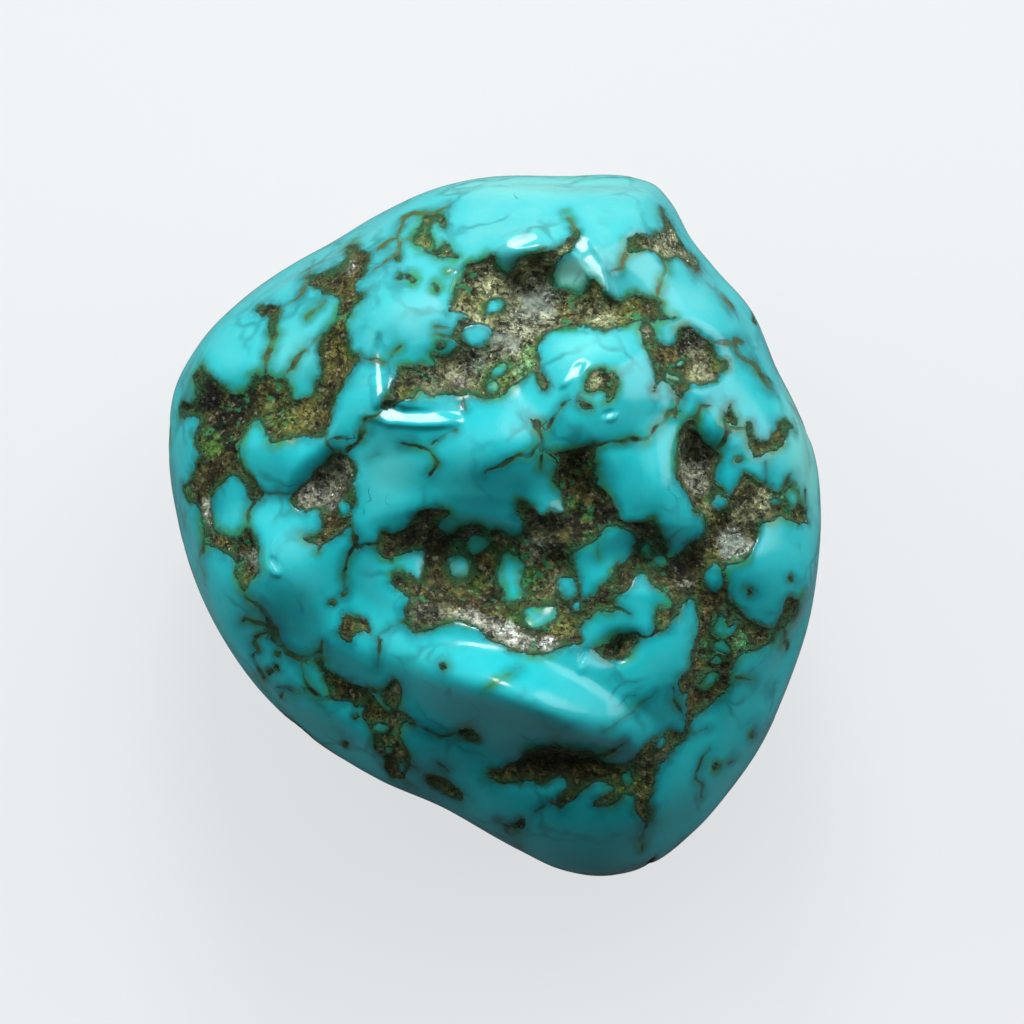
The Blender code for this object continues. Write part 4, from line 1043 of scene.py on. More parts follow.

# %% [markdown]
# ## The colours of the host rock
#
# The matrix is not one brown. It is umber in most veins, nearly black in the deep slots, where
# the black is partly painted shade, mossy where iron and copper mixed, and grey or buff where
# quartz and chert show. White washes are partly pale quartz and partly painted glints. These are
# painted as soft washes, one over the other, the way a miniature painter works: each wash has
# a place, a radius and a pigment. Their colours go to the mesh as an attribute, and the
# material adds the grain.

# %% Pigments and washes
PIGMENTS = {
    "umber": (0.024, 0.024, 0.009),
    "black": (0.004, 0.004, 0.003),
    "brown": (0.075, 0.062, 0.018),
    "rust": (0.085, 0.040, 0.010),
    "olive": (0.105, 0.118, 0.026),
    "moss": (0.040, 0.110, 0.016),
    "leaf": (0.060, 0.300, 0.110),
    "grey": (0.160, 0.180, 0.125),
    "ash": (0.340, 0.355, 0.290),
    "buff": (0.310, 0.335, 0.190),
    "quartz": (0.260, 0.310, 0.260),
    "white": (0.760, 0.790, 0.720),
    "plum": (0.185, 0.175, 0.160),
}
WASHES = (
    # The black washes are partly the rock's own dark and partly painted shade, in the pits and slots and
    # across the west band.
    # the broad zones of the face: light and golden on the crown, nearly black further down
    (1.6, 9.8, 5, "buff", 0.5), (-0.8, 6.8, 3.6, "buff", 0.45), (5.2, 9.2, 2.6, "olive", 0.6),
    (-2.6, 12.6, 1.8, "buff", 0.7), (4.6, 6.1, 1.4, "buff", 0.9), (7.8, 12.2, 2.4, "buff", 0.5),
    (-11.6, 5, 3.4, "black", 0.8), (-6.3, -4.4, 1.6, "black", 0.6), (3, -0.2, 4.2, "umber", 0.5),
    (-7, 8.4, 2.4, "olive", 0.6), (-8.6, 4.9, 1.8, "olive", 0.5), (-6.8, -7, 1.6, "black", 0.6),
    # west: x, y, radius, pigment, strength
    (-11.6, 5, 3, "black", 0.6), (-11.9, 1.2, 1.6, "umber", 0.8), (-9, 5, 1.6, "olive", 0.6),
    (-9.2, 4.6, 0.6, "moss", 0.9), (-8.5, 4.9, 0.5, "moss", 0.7), (-12.2, 3.5, 0.8, "moss", 0.7),
    (-13.4, 1.3, 0.6, "leaf", 0.8), (-12.25, 0.9, 0.5, "ash", 0.9), (-12.25, 0.3, 0.5, "ash", 0.9),
    (-12.2, -0.3, 0.4, "plum", 0.7), (-11.6, -0.75, 0.7, "brown", 0.9), (-8, 5, 0.9, "brown", 0.6),
    (-7, 7, 1.2, "brown", 0.5), (-6.4, 10.2, 1.3, "brown", 0.6), (-6.2, 11.3, 0.7, "grey", 0.5),
    (-6.9, 10.3, 0.8, "umber", 0.7), (-6.9, 9, 0.8, "olive", 0.4), (-6.6, 5.6, 0.9, "umber", 0.6),
    (-10.55, -1.3, 1.1, "grey", 0.8), (-10.25, -1.3, 0.35, "quartz", 0.7),
    (-10.65, -0.8, 0.5, "black", 0.9), (-10.7, -1.7, 0.6, "black", 0.9), (-10.35, -1.2, 0.2, "white", 0.5),
    (-7.6, 1.2, 1, "ash", 0.8), (-6.8, 2.3, 0.8, "grey", 0.6), (-7, 1, 0.6, "plum", 0.5),
    (-6.6, 0, 0.9, "brown", 0.8), (-6.2, -2, 1.4, "umber", 0.5), (-9.6, 8.6, 1, "black", 0.5),
    (-3.9, 12.9, 1.6, "olive", 0.7), (-2.5, 12.4, 1.3, "olive", 0.9), (-4.7, 11.8, 1, "olive", 0.5),
    # crown and its west arm; the black in the slot under the crest is painted shadow
    (1.6, 9.7, 1.4, "grey", 0.8), (1.7, 9.6, 0.8, "quartz", 0.6), (2.3, 9.8, 0.5, "quartz", 0.6),
    (1, 9.9, 0.5, "grey", 0.6), (0, 10.3, 0.8, "buff", 0.7), (-0.8, 9.8, 0.7, "olive", 0.6),
    (-0.2, 9.4, 0.6, "moss", 0.7), (1.65, 11.2, 0.45, "black", 0.9), (0.8, 10.6, 0.4, "black", 0.8),
    (2, 10.7, 0.6, "umber", 0.7), (3.1, 9.2, 0.8, "brown", 0.7), (4.6, 9.2, 0.9, "buff", 0.8),
    (5.6, 9.2, 0.9, "olive", 0.5), (6.6, 9.3, 0.8, "umber", 0.7), (3.4, 9.95, 0.5, "leaf", 0.6),
    (2.5, 8.8, 0.7, "grey", 0.6), (1.2, 8.6, 0.8, "grey", 0.7), (0.5, 7.9, 0.9, "grey", 0.9),
    (0.9, 7.6, 0.5, "quartz", 0.6), (-0.7, 7.3, 1, "grey", 0.7), (-1, 7, 0.6, "quartz", 0.7),
    (-1.6, 6, 0.7, "plum", 0.9), (-2.2, 6.2, 0.8, "grey", 0.6), (-1.4, 7.7, 0.4, "grey", 0.8),
    (1.5, 7.4, 0.5, "leaf", 0.7), (0.3, 6.4, 1.1, "moss", 0.8), (1.4, 6.7, 0.5, "leaf", 0.6),
    (-0.2, 5.6, 0.6, "brown", 0.8), (-3.8, 5.6, 0.6, "olive", 0.8), (-3.35, 6.35, 0.3, "black", 0.9),
    (-1.05, 7.3, 0.25, "black", 0.8), (-2.6, 6.5, 0.5, "umber", 0.6), (-4.3, 5.4, 0.4, "grey", 0.6),
    (-2.2, 8.2, 0.6, "olive", 0.5),
    # corner, boss and the east
    (7.6, 12.2, 1.8, "buff", 0.6), (7.2, 12.4, 0.7, "grey", 0.8), (8.4, 11.6, 0.8, "grey", 0.7),
    (6.3, 12.1, 0.7, "olive", 0.6), (8.2, 12.2, 0.4, "umber", 0.8), (4.5, 6.1, 1, "olive", 0.6),
    (4.3, 6.3, 0.5, "buff", 0.5), (5, 5.9, 0.4, "brown", 0.5), (3.9, 5.1, 0.5, "olive", 0.8),
    (8.7, 7.9, 0.7, "grey", 0.9), (8.5, 8, 0.25, "black", 0.8), (9.1, 7.6, 0.3, "umber", 0.8),
    (8.8, 6.5, 0.8, "buff", 0.7), (9.6, 6.95, 0.5, "olive", 0.9), (7.3, 7.2, 0.7, "brown", 0.8),
    (6.6, 8.2, 0.5, "grey", 0.7), (7.4, 6.2, 0.6, "olive", 0.5), (10.4, 7.6, 0.7, "umber", 0.6),
    (11.6, 3.5, 1.4, "olive", 0.6), (12.2, 6.6, 0.6, "rust", 0.7), (8.5, 2.9, 1.4, "grey", 0.7),
    (8.4, 3.3, 0.6, "black", 0.7), (8.6, 1.8, 0.7, "grey", 0.8), (9.1, 0.6, 0.4, "buff", 0.6),
    (10.6, 0.4, 0.8, "buff", 0.6), (9.9, 0.4, 0.7, "olive", 0.6), (10.2, -0.8, 0.9, "quartz", 1),
    (10.1, -1.35, 0.3, "grey", 0.7), (11, -0.9, 0.3, "white", 0.5), (9.2, -1.3, 0.6, "olive", 0.6),
    (11.5, 1, 0.7, "buff", 0.9), (12.7, 0.6, 0.8, "olive", 0.8), (12.3, 1.2, 0.5, "leaf", 0.5),
    (8, -1.9, 1.3, "black", 0.7), (8.2, -2.6, 0.5, "grey", 0.7), (7.3, -0.7, 0.5, "umber", 0.8),
    (9, -3.4, 0.9, "brown", 0.8), (8.9, -7.3, 0.8, "rust", 0.6), (8.9, -5.4, 1, "brown", 0.7),
    (8.3, -6.5, 0.5, "brown", 0.8), (10.6, -4.9, 0.7, "leaf", 0.5), (11.6, -4.7, 0.8, "olive", 0.5),
    (7.2, -4, 0.5, "olive", 0.8), (11.4, -9, 0.5, "rust", 0.6),
    # the middle, where the black washes in the hollow are partly painted shade and the white ones on the
    # ledge partly painted glints
    (3.2, 0.1, 1.9, "black", 0.7), (-1.8, -0.8, 1.2, "black", 0.6), (3.4, 1.8, 0.7, "brown", 0.8),
    (3.4, 1.1, 0.3, "moss", 0.9), (3.9, 0.5, 0.35, "moss", 0.8), (3.85, -0.5, 0.4, "leaf", 0.8),
    (1.1, 0.3, 0.35, "moss", 0.8), (-0.8, -2.2, 0.6, "moss", 0.9), (1.6, -2.2, 0.6, "moss", 0.9),
    (0.9, -3.6, 0.6, "moss", 0.8), (1.5, -1.1, 0.9, "grey", 0.5), (2.4, -2.3, 0.8, "buff", 0.6),
    (-3.2, -3.7, 0.9, "grey", 0.7), (-2.2, -3.6, 0.8, "grey", 0.8), (-1.2, -3.75, 0.7, "white", 0.35),
    (-0.3, -4.2, 0.8, "ash", 0.6), (0.8, -4.7, 0.7, "ash", 0.8), (0.6, -4.75, 0.7, "white", 0.65),
    (1.3, -4.95, 0.5, "white", 0.55), (2.5, -5.05, 0.5, "white", 0.8), (1.7, -5.1, 0.4, "ash", 0.8),
    (0.6, -4.2, 0.4, "quartz", 0.7), (-2.2, -2.9, 0.9, "umber", 0.7), (-0.2, -3.2, 0.7, "umber", 0.6),
    (-4, -2.4, 0.6, "umber", 0.8), (2.8, -4.2, 0.7, "olive", 0.6), (4.7, -3.3, 0.8, "umber", 0.7),
    (-2.6, 0.3, 0.6, "brown", 0.6), (-3.4, -0.4, 0.7, "umber", 0.7), (1.9, -1.8, 0.4, "umber", 0.6),
    # the south
    (5.2, -5.15, 0.5, "black", 0.9), (4.6, -5.4, 0.5, "olive", 0.8), (5.7, -5.1, 0.35, "buff", 0.6),
    (2, -10.2, 2, "umber", 0.8), (0.3, -10.6, 0.8, "brown", 0.6), (4, -10.4, 1, "umber", 0.8),
    (5.6, -11.3, 1, "moss", 0.7), (5.4, -10.4, 0.6, "olive", 0.7), (6.8, -9.4, 0.8, "olive", 0.6),
    (7.4, -8.9, 0.6, "leaf", 0.4), (3, -11.4, 0.5, "brown", 0.6), (-6.8, -6.8, 1, "brown", 0.6),
    (-5, -7.6, 0.8, "umber", 0.7), (-4.6, -9, 0.9, "olive", 0.5), (-4.3, -10.6, 0.9, "rust", 0.5),
    (-9.5, -4.6, 0.9, "umber", 0.6), (-6, -4.3, 0.8, "brown", 0.6), (-12.8, -2.2, 0.7, "buff", 0.8),
)


# Zones under the washes: pigment, which of the two mottles, and the share where it starts.
# A mottle is given by its pitch and salt.
ZONE_MOTTLES = {"wide": (2.4, 83), "narrow": (1.3, 89)}
ZONES = (("brown", "wide", 0.45), ("olive", "narrow", 0.55), ("grey", "not wide", 0.62),
         ("moss", "not narrow", 0.72))
ZONE_SPAN = 0.2
ZONE_ON_FACE = 0.35      # strength of the zones where the washes cover them
FACE_FROM = 0.3          # height share above which that is
SPOT_RIM = 0.6           # share of a spot's radius over which it fades


def spot(points, centre_x, centre_y, radius, rim=SPOT_RIM):
    """Seen from above, smooth_step((1 - distance in radii) / rim): 1 in the middle."""
    gap = np.hypot(points[:, 0] - centre_x, points[:, 1] - centre_y) / radius
    return smooth_step((1.0 - gap) / rim)


def painted(points, up):
    """Matrix colour at each point: broad zones everywhere, then the washes on the face.

    Each layer moves the colour towards its pigment by its weight.
    """
    shares = {name: mottle(points, *noise) for name, noise in ZONE_MOTTLES.items()}
    shares |= {"not " + name: 1.0 - share for name, share in shares.items()}
    aside = np.where(up > FACE_FROM, ZONE_ON_FACE, 1.0)
    colour = np.tile(PIGMENTS["umber"], (len(points), 1))
    for pigment, name, start in ZONES:
        weight = aside * smooth_step((shares[name] - start) / ZONE_SPAN)
        colour += weight[:, None] * (PIGMENTS[pigment] - colour)
    loose = shaken(points, pitch=0.9, reach=0.5, salt=97)
    for wash_x, wash_y, radius, pigment, strength in WASHES:
        weight = strength * spot(loose, wash_x, wash_y, radius) * (up > 0.0)
        colour += weight[:, None] * (PIGMENTS[pigment] - colour)
    return colour


# %% [markdown]
# Other patches change the stone by a share from 0 to 1. The quartz is glassy and has a crisp
# rim. Some of the polish was left duller by the tumbling. Other patches are painted light: a
# white-green wash for highlights, sheen and lit flanks that the lamps leave too dim. The last
# two are lists of ovals, like the lumps of the skin.

# %% Quartz, dull patches and patches of painted light
QUARTZ_RIM = (0.95, 0.35)    # where a lump's rim starts, and its width, in radii


def quartz_share(points, up):
    """1 on a lump of quartz and 0 beside it, with a crisp rim."""
    share = np.zeros(len(points))
    loose = shaken(shaken(points, pitch=1.0, reach=0.6, salt=107), pitch=0.35, reach=0.3, salt=113)
    for *oval, _, _ in QUARTZ_LUMPS.values():
        radii = oval_radii(loose[:, 0], loose[:, 1], *oval)
        share = np.maximum(share, smooth_step((QUARTZ_RIM[0] - radii) / QUARTZ_RIM[1]))
    return share * (up > 0.0)


DULL = {
    "west of the crown": (-3.7, 9.1, 2.0, 1.5, 0, 1.0, 0.7),
    "middle of the ledge": (1.2, 4.4, 1.5, 1.1, 0, 1.0, 0.7),
    "under the river": (-8.6, -0.9, 1.6, 1.2, 0, 0.6, 0.7),
}
# Patches of painted light: a highlight on the crown tooth, glare sheen on the boss's brow, sheen on the
# east limb, a pale reflection along the crown's rim, and light on the flanks west of the ledge and in the
# north west.
PAINTED_LIGHT_PATCHES = {
    "crown tooth": (3.3, 10.7, 1.1, 0.9, 0, 0.65, 0.6),
    "brow of the boss": (4.1, 7.8, 2.2, 1.1, 8, 0.2, 0.9),
    "east limb": (13.3, 3.4, 1.5, 5.0, 8, 0.42, 0.9),
    "west of the ledge": (-4.6, 2.4, 2.0, 2.4, 0, 0.13, 1.0),
    "north west": (-8.4, 7.4, 2.4, 2.0, 0, 0.14, 1.0),
    "crown rim": (2.0, 14.6, 7.0, 0.9, 0, 0.3, 0.9),
}


ground = painted(plain, directions[:, 2])
facing_up = directions[:, 2] > 0.0
dull = np.where(facing_up, ovals(plain[:, 0], plain[:, 1], DULL), 0.0)
painted_light = np.where(facing_up, ovals(plain[:, 0], plain[:, 1], PAINTED_LIGHT_PATCHES), 0.0)
quartz = quartz_share(plain, directions[:, 2])
print(len(WASHES), "washes in", len(PIGMENTS), "pigments")

# %% [markdown]
# Turquoise that touches the matrix often turns green, because iron takes the place of copper
# there. It is patchy: some rims stay pure blue. The amount is kept as its own attribute.

# %% Where the turquoise turns green
GREEN_REACH = 0.55       # in mm from the matrix
GREEN_VEIN_GAP = 0.15    # how much less a vein greens it than the matrix does
GREEN_SPOT_STRENGTH = 0.9
# Spots where the rims are green whatever the patches say: x, y and radius.
GREEN_SPOTS = (
    (-4.4, -1.6, 1.0), (0.9, -2.0, 1.6), (2.0, -3.9, 1.2), (-0.9, -1.3, 1.3), (6.9, -1.4, 1.2),
    (9.8, -4.5, 1.6), (9.4, -6.5, 1.3), (3.6, 10.2, 1.3), (0.0, 6.4, 1.4), (-9.3, 4.2, 1.2),
    (-5.2, 4.2, 1.2), (7.6, 6.6, 1.0), (12.6, 1.0, 1.2), (5.6, -11.4, 1.4), (-4.4, -9.0, 1.2),
    (4.6, -1.4, 1.3), (-3.0, 12.8, 1.4), (4.6, 6.0, 1.4), (1.5, 3.2, 1.2), (8.9, 4.4, 0.9),
    (3.2, 10.4, 1.1), (12.6, -5.0, 1.4),
)


def green_share(points, up):
    """1 at a green rim and 0 in pure blue: nearness to matrix or vein, times patches."""
    gap = np.minimum(np.maximum(edge, 0.0), vein + GREEN_VEIN_GAP)
    patches = smooth_step((mottle(points, pitch=1.5, salt=101) - 0.45) / 0.3)
    for place in GREEN_SPOTS:
        patches = np.maximum(patches, GREEN_SPOT_STRENGTH * spot(points, *place) * (up > 0.0))
    return (1.0 - smooth_step(gap / GREEN_REACH)) * patches


green = green_share(plain, directions[:, 2])

# %% [markdown]
# ## The mesh and what it carries
#
# The carved points and their triangles now become one mesh. Along with its place every point
# carries what was worked out for it: the distances, the matrix colour, and the shares of
# green, quartz, dullness and painted light. The material reads them back by name, so its
# pattern and the carving cannot disagree.

# %% One mesh with its attributes
def new_mesh(name, points, corners, smooth=True):
    """Mesh from points in millimetres and triangles, scaled to metres."""
    mesh = bpy.data.meshes.new(name)
    mesh.from_pydata((points * MM).tolist(), [], corners.tolist())
    mesh.polygons.foreach_set("use_smooth", np.full(len(corners), smooth))
    mesh.update()
    return mesh


def keep_number(mesh, name, values):
    """Store one number for each point of the mesh."""
    layer = mesh.attributes.new(name, "FLOAT", "POINT")
    layer.data.foreach_set("value", np.asarray(values, np.float32))


def keep_colour(mesh, name, values):
    """Store one colour for each point of the mesh."""
    layer = mesh.color_attributes.new(name, "FLOAT_COLOR", "POINT")
    rgba = np.ones((len(values), 4), np.float32)
    rgba[:, :3] = values
    layer.data.foreach_set("color", rgba.ravel())


def placed(mesh, material):
    """An object for the mesh at the origin, with its material, riding on the stone."""
    mesh.materials.append(material)
    piece = bpy.data.objects.new(mesh.name, mesh)
    bpy.context.scene.collection.objects.link(piece)
    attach(piece, "root")
    return piece


skin_mesh = new_mesh("turquoise_skin", stone, triangles)
for name, values in {
    "matrix_edge": edge, "vein_gap": vein, "vein_side": vein_side, "vein_width": vein_width,
    "vein_strength": vein_strength, "nodule": nodule, "green": green, "quartz": quartz,
    "dull": dull, "painted_light": painted_light,
}.items():
    keep_number(skin_mesh, name, np.clip(values, -FAR, FAR))
keep_colour(skin_mesh, "ground", ground)
print("skin mesh:", len(skin_mesh.polygons), "triangles")

# %% [markdown]
# ## The polish and the matrix in one material
#
# The stone is one body, so it has one material with two finishes in it. The signed distance
# decides between them, after fine noise has frayed it, which keeps the border sharp at any
# distance. The turquoise is smooth and glossy with cloudy tones. The matrix is rough, its
# colour comes from the washes, and its grains are small tilted facets: each cell of a Voronoi
# pattern gets its own tilt, and those that face the light sparkle.

# %% A short way to build a node tree
def node_adder(tree):
    """Returns add(kind, inputs, out, **settings), which makes a node and gives an output."""
    def add(kind, inputs, out=0, **settings):
        node = tree.nodes.new("ShaderNode" + kind)
        for name, value in settings.items():
            setattr(node, name, value)
        for place, value in inputs.items():
            if isinstance(value, bpy.types.NodeSocket):
                tree.links.new(value, node.inputs[place])
            else:
                node.inputs[place].default_value = value
        return node.outputs[out]

    return add


class Finish:
    """A material under construction, with the sums and mixes that the finishes share."""

    def __init__(self, name):
        self.material = bpy.data.materials.new(name)
        self.material.use_nodes = True
        self.shader = self.material.node_tree.nodes["Principled BSDF"]
        self.add = node_adder(self.material.node_tree)
        metres = self.add("TexCoord", {}, "Object")
        self.place = self.add("VectorMath", {0: metres, "Scale": 1.0 / MM}, operation="SCALE")

    def sum(self, kind, a, b=0.0, c=0.0):
        """One step of arithmetic, such as ADD, ABSOLUTE or MULTIPLY_ADD, which is a * b + c."""
        return self.add("Math", {0: a, 1: b, 2: c}, operation=kind)

    def times(self, a, b):
        """a * b"""
        return self.sum("MULTIPLY", a, b)

    def sway(self, noise, reach, base):
        """base + reach * (noise - 0.5)"""
        return self.sum("MULTIPLY_ADD", noise, reach, self.sum("ADD", base, -0.5 * reach))

    def ramp(self, value, start, end, low=0.0, high=1.0):
        """Goes smoothly from low at start to high at end."""
        places = {"Value": value, "From Min": start, "From Max": end, "To Min": low, "To Max": high}
        return self.add("MapRange", places, interpolation_type="SMOOTHSTEP")

    def noise(self, per_mm, detail=2.0, rough=0.5, out=0):
        """Cloudy noise about 0.5, with so many waves to a millimetre."""
        places = {"Vector": self.place, "Scale": per_mm, "Detail": detail, "Roughness": rough}
        return self.add("TexNoise", places, out)

    def cells(self, per_mm, out):
        """Voronoi cells, so many to a millimetre: their Distance, Color or Position."""
        return self.add("TexVoronoi", {"Vector": self.place, "Scale": per_mm}, out)

    def mix(self, share, a, b, kind="MIX"):
        """Colour a at share 0 and colour b at share 1."""
        places = {0: share, 6: a, 7: b}
        return self.add("Mix", places, 2, data_type="RGBA", blend_type=kind)

    def between(self, share, a, b):
        """Number a at share 0 and number b at share 1."""
        return self.add("Mix", {0: share, 2: a, 3: b}, 0, data_type="FLOAT")

    def shaded(self, colour, tone):
        """The colour times a number: darker below 1, lighter above."""
        grey = self.add("CombineColor", {0: tone, 1: tone, 2: tone})
        return self.mix(1.0, colour, grey, "MULTIPLY")

    def number(self, name):
        """A number that the mesh carries."""
        return self.add("Attribute", {}, "Fac", attribute_name=name)

    def plug(self, socket, source):
        """Plug a source into the shader."""
        self.material.node_tree.links.new(source, self.shader.inputs[socket])


# %% [markdown]
# The borders come first. Each is a ramp over a distance in millimetres, from its start to its
# end, so every rim has a real width. The veins are read from the distance to their own line.

# %% The borders between turquoise, matrix and veins
FRAY = 0.36                  # reach of the coarse fraying of the matrix's border
FINE_FRAY = 0.12
BORDER = (0.055, -0.05)
VEIN_WIGGLE = 0.12
VEIN_END = 0.02              # by how much a vein runs on past its last point
HALF_VEIN = 0.45             # share of its width from a vein's middle to its rim
VEIN_FRAY = 0.26
VEIN_SPREAD = 0.015
VEIN_BORDER = (0.04, -0.04)
VEIN_CORE = (0.30, 0.18)     # gap from the drawn vein beyond which nothing of it is left
VEIN_HALO = (0.5, 0.0)

f = Finish("polished_turquoise_with_matrix")     # f for finish, as nearly every line needs it
frayed = f.sway(f.noise(2.4, 4.0, 0.65), FRAY, f.number("matrix_edge"))
frayed = f.sway(f.noise(8.0, 2.0), FINE_FRAY, frayed)
in_matrix = f.ramp(frayed, *BORDER)

off_vein = f.sum("ABSOLUTE", f.sway(f.noise(2.6, 1.0), VEIN_WIGGLE, f.number("vein_side")))
off_vein = f.sum("MAXIMUM", off_vein, f.sum("ADD", f.number("vein_gap"), -VEIN_END))
vein_rim = f.sum("MULTIPLY_ADD", f.number("vein_width"), -HALF_VEIN, off_vein)
vein_rim = f.sway(f.noise(1.7, 3.0, 0.6), VEIN_FRAY, f.sum("ADD", vein_rim, -VEIN_SPREAD))
vein_tone = f.times(f.number("vein_strength"), f.ramp(f.noise(1.1, 3.0), 0.36, 0.6, 0.5, 1.5))
vein_core = f.times(f.ramp(f.number("vein_gap"), *VEIN_CORE), vein_tone)
in_vein = f.times(f.ramp(vein_rim, *VEIN_BORDER), vein_core)
halo_share = f.sum("MULTIPLY_ADD", vein_tone, 0.5, 0.25)
vein_halo = f.times(f.ramp(f.number("vein_gap"), *VEIN_HALO), halo_share)

# %% [markdown]
# The turquoise is built up as glazes are: three blues by how deep in its nodule a point lies,
# darker towards the matrix partly as painted shade that rounds each nodule, lighter towards the
# crown, teal seams between nodules, teal and dark rims along the matrix that are partly painted
# shade, then the veins.

# %% The turquoise: nodules, clouds, flecks, seams and rims
DEEP_BLUE = (0.005, 0.285, 0.325, 1.0)
MID_BLUE = (0.012, 0.400, 0.435, 1.0)
PALE_BLUE = (0.026, 0.425, 0.460, 1.0)
CROWN_BLUE = (0.120, 0.475, 0.475, 1.0)
PAINTED_LIGHT_TONE = (0.330, 0.820, 0.700, 1.0)
CROWN_SPAN = (3.0, 12.0)   # millimetres towards the crown, from nothing to the whole
TEAL_SEAM = (0.008, 0.150, 0.155, 1.0)
GREEN_RIM = (0.030, 0.250, 0.100, 1.0)
# Painted shade where the polish drops to the matrix, and in the crevice beside it.
BORDER_SHADE = (0.014, 0.085, 0.050, 1.0)
FRINGE_GREEN = (0.028, 0.100, 0.026, 1.0)
VEIN_BROWN = (0.008, 0.016, 0.009, 1.0)
VEIN_OLIVE = (0.022, 0.075, 0.034, 1.0)
VEIN_GOLD = (0.075, 0.110, 0.030, 1.0)     # the veins of the crown
NODULE_TONE_AND_SHADE_REACH = (0.0, 1.1)    # distances from the matrix, from the first to the second
TEAL_TONE_AND_SHADE_REACH = (0.42, 0.02)
FRINGE_REACH = (0.24, 0.02)
BORDER_SHADE_REACH = (0.10, -0.02)
VEIN_FRINGE_REACH = (0.20, 0.0)
NODULES_PER_MM = 0.36
SEAM_WIDTH = (0.10, 0.0)     # in parts of a nodule, as the cells' distances are
THREAD_WIDTH = (0.014, 0.003)
SEAM_FRAY = 0.06

wander = f.add("VectorMath", {0: f.noise(0.5, 2.0, 0.5, "Color"), "Scale": 2.6}, operation="SCALE")
wander = f.add("VectorMath", {0: f.place, 1: wander}, operation="ADD")
nodules = {"Vector": wander, "Scale": NODULES_PER_MM}
nodule_tone = f.add("SeparateColor", {0: f.add("TexVoronoi", nodules, "Color")})
clouds = f.ramp(f.noise(0.35, 5.0, 0.62), 0.34, 0.68)
# Darker towards the matrix: partly the nodule's own tone, partly painted shade that rounds it.
body = f.sum("MULTIPLY_ADD", f.ramp(f.number("nodule"), *NODULE_TONE_AND_SHADE_REACH), 0.55, f.times(clouds, 0.35))
body = f.sum("MULTIPLY_ADD", nodule_tone, 0.22, f.sum("ADD", body, -0.08))
blue = f.mix(f.ramp(body, 0.0, 0.5), DEEP_BLUE, MID_BLUE)
crownward = f.add("SeparateXYZ", {0: f.place}, "Y")
# Lighter towards the crown, rising with y.
crown_share = f.ramp(crownward, *CROWN_SPAN, 0.0, 0.75)
pale = f.mix(crown_share, PALE_BLUE, CROWN_BLUE)
blue = f.mix(f.ramp(body, 0.45, 1.05), blue, pale)
blue = f.mix(f.times(crown_share, 0.6), blue, pale)
blue = f.mix(f.times(f.ramp(f.noise(2.8, 4.0, 0.65), 0.56, 0.74), 0.3), blue, pale)
# Painted light: a pale wash where the lamps give too little highlight, sheen or light.
blue = f.mix(f.number("painted_light"), blue, PAINTED_LIGHT_TONE)

seam = f.add("TexVoronoi", nodules, 0, feature="DISTANCE_TO_EDGE")
seam = f.sway(f.noise(2.0, 3.0), SEAM_FRAY, seam)
seam_share = f.times(f.ramp(seam, *SEAM_WIDTH), f.ramp(f.noise(0.4, 2.0), 0.42, 0.66, 0.0, 0.55))
thread = f.times(f.ramp(seam, *THREAD_WIDTH), f.ramp(f.noise(0.5, 2.0), 0.62, 0.72, 0.0, 0.5))
rim_patches = f.ramp(f.noise(1.8, 3.0, 0.6), 0.3, 0.65, 0.25, 0.85)
ragged = f.ramp(f.noise(2.2, 3.0), 0.3, 0.6, 0.15, 1.0)
fringe = f.ramp(f.noise(1.3, 3.0, 0.6), 0.40, 0.62, 0.08, 0.95)
vein_fringe = f.times(f.ramp(vein_rim, *VEIN_FRINGE_REACH), vein_core)
vein_colour = f.mix(f.ramp(f.noise(1.6, 3.0, 0.6), 0.40, 0.60), VEIN_BROWN, VEIN_OLIVE)
for share, glaze in (
    (seam_share, TEAL_SEAM),
    (thread, VEIN_BROWN),
    (f.times(vein_halo, 0.8), TEAL_SEAM),
    # teal towards the matrix, partly own tone and partly painted shade
    (f.times(f.ramp(frayed, *TEAL_TONE_AND_SHADE_REACH), rim_patches), TEAL_SEAM),
    (f.times(f.number("green"), ragged), GREEN_RIM),
    (f.times(f.ramp(frayed, *FRINGE_REACH), fringe), FRINGE_GREEN),
    # painted shade along the polish's rim at the matrix
    (f.times(f.ramp(frayed, *BORDER_SHADE_REACH), 0.8), BORDER_SHADE),
    (f.times(vein_fringe, f.times(fringe, 0.6)), FRINGE_GREEN),
    (in_vein, f.mix(crown_share, vein_colour, VEIN_GOLD)),
):
    blue = f.mix(share, blue, glaze)

# %% [markdown]
# Each cell of one pattern is a grain of the matrix, with its own tone, gloss and tilt. Over
# the washes lie pale grains, dark patches that are partly dark rock and partly painted shade in
# small holes, moss, painted shade in the crevice at the border, quartz and specks.

# %% The matrix: washes, grains, holes, quartz and green specks
OLIVE_GRAIN = (0.080, 0.078, 0.018, 1.0)
DARK_ROCK_AND_HOLE_SHADE = (0.005, 0.005, 0.003, 1.0)
LIGHT_GRAIN = (0.420, 0.410, 0.340, 1.0)
QUARTZ_CLEAR = (0.200, 0.250, 0.205, 1.0)
GRAINS_PER_MM = 7.0
MOSS_REACH = (-0.45, -0.05)  # distances from the border, minus inside the matrix
# painted shade in the crevice, as distances from the border
CREVICE_SHADE = (-0.16, 0.0)

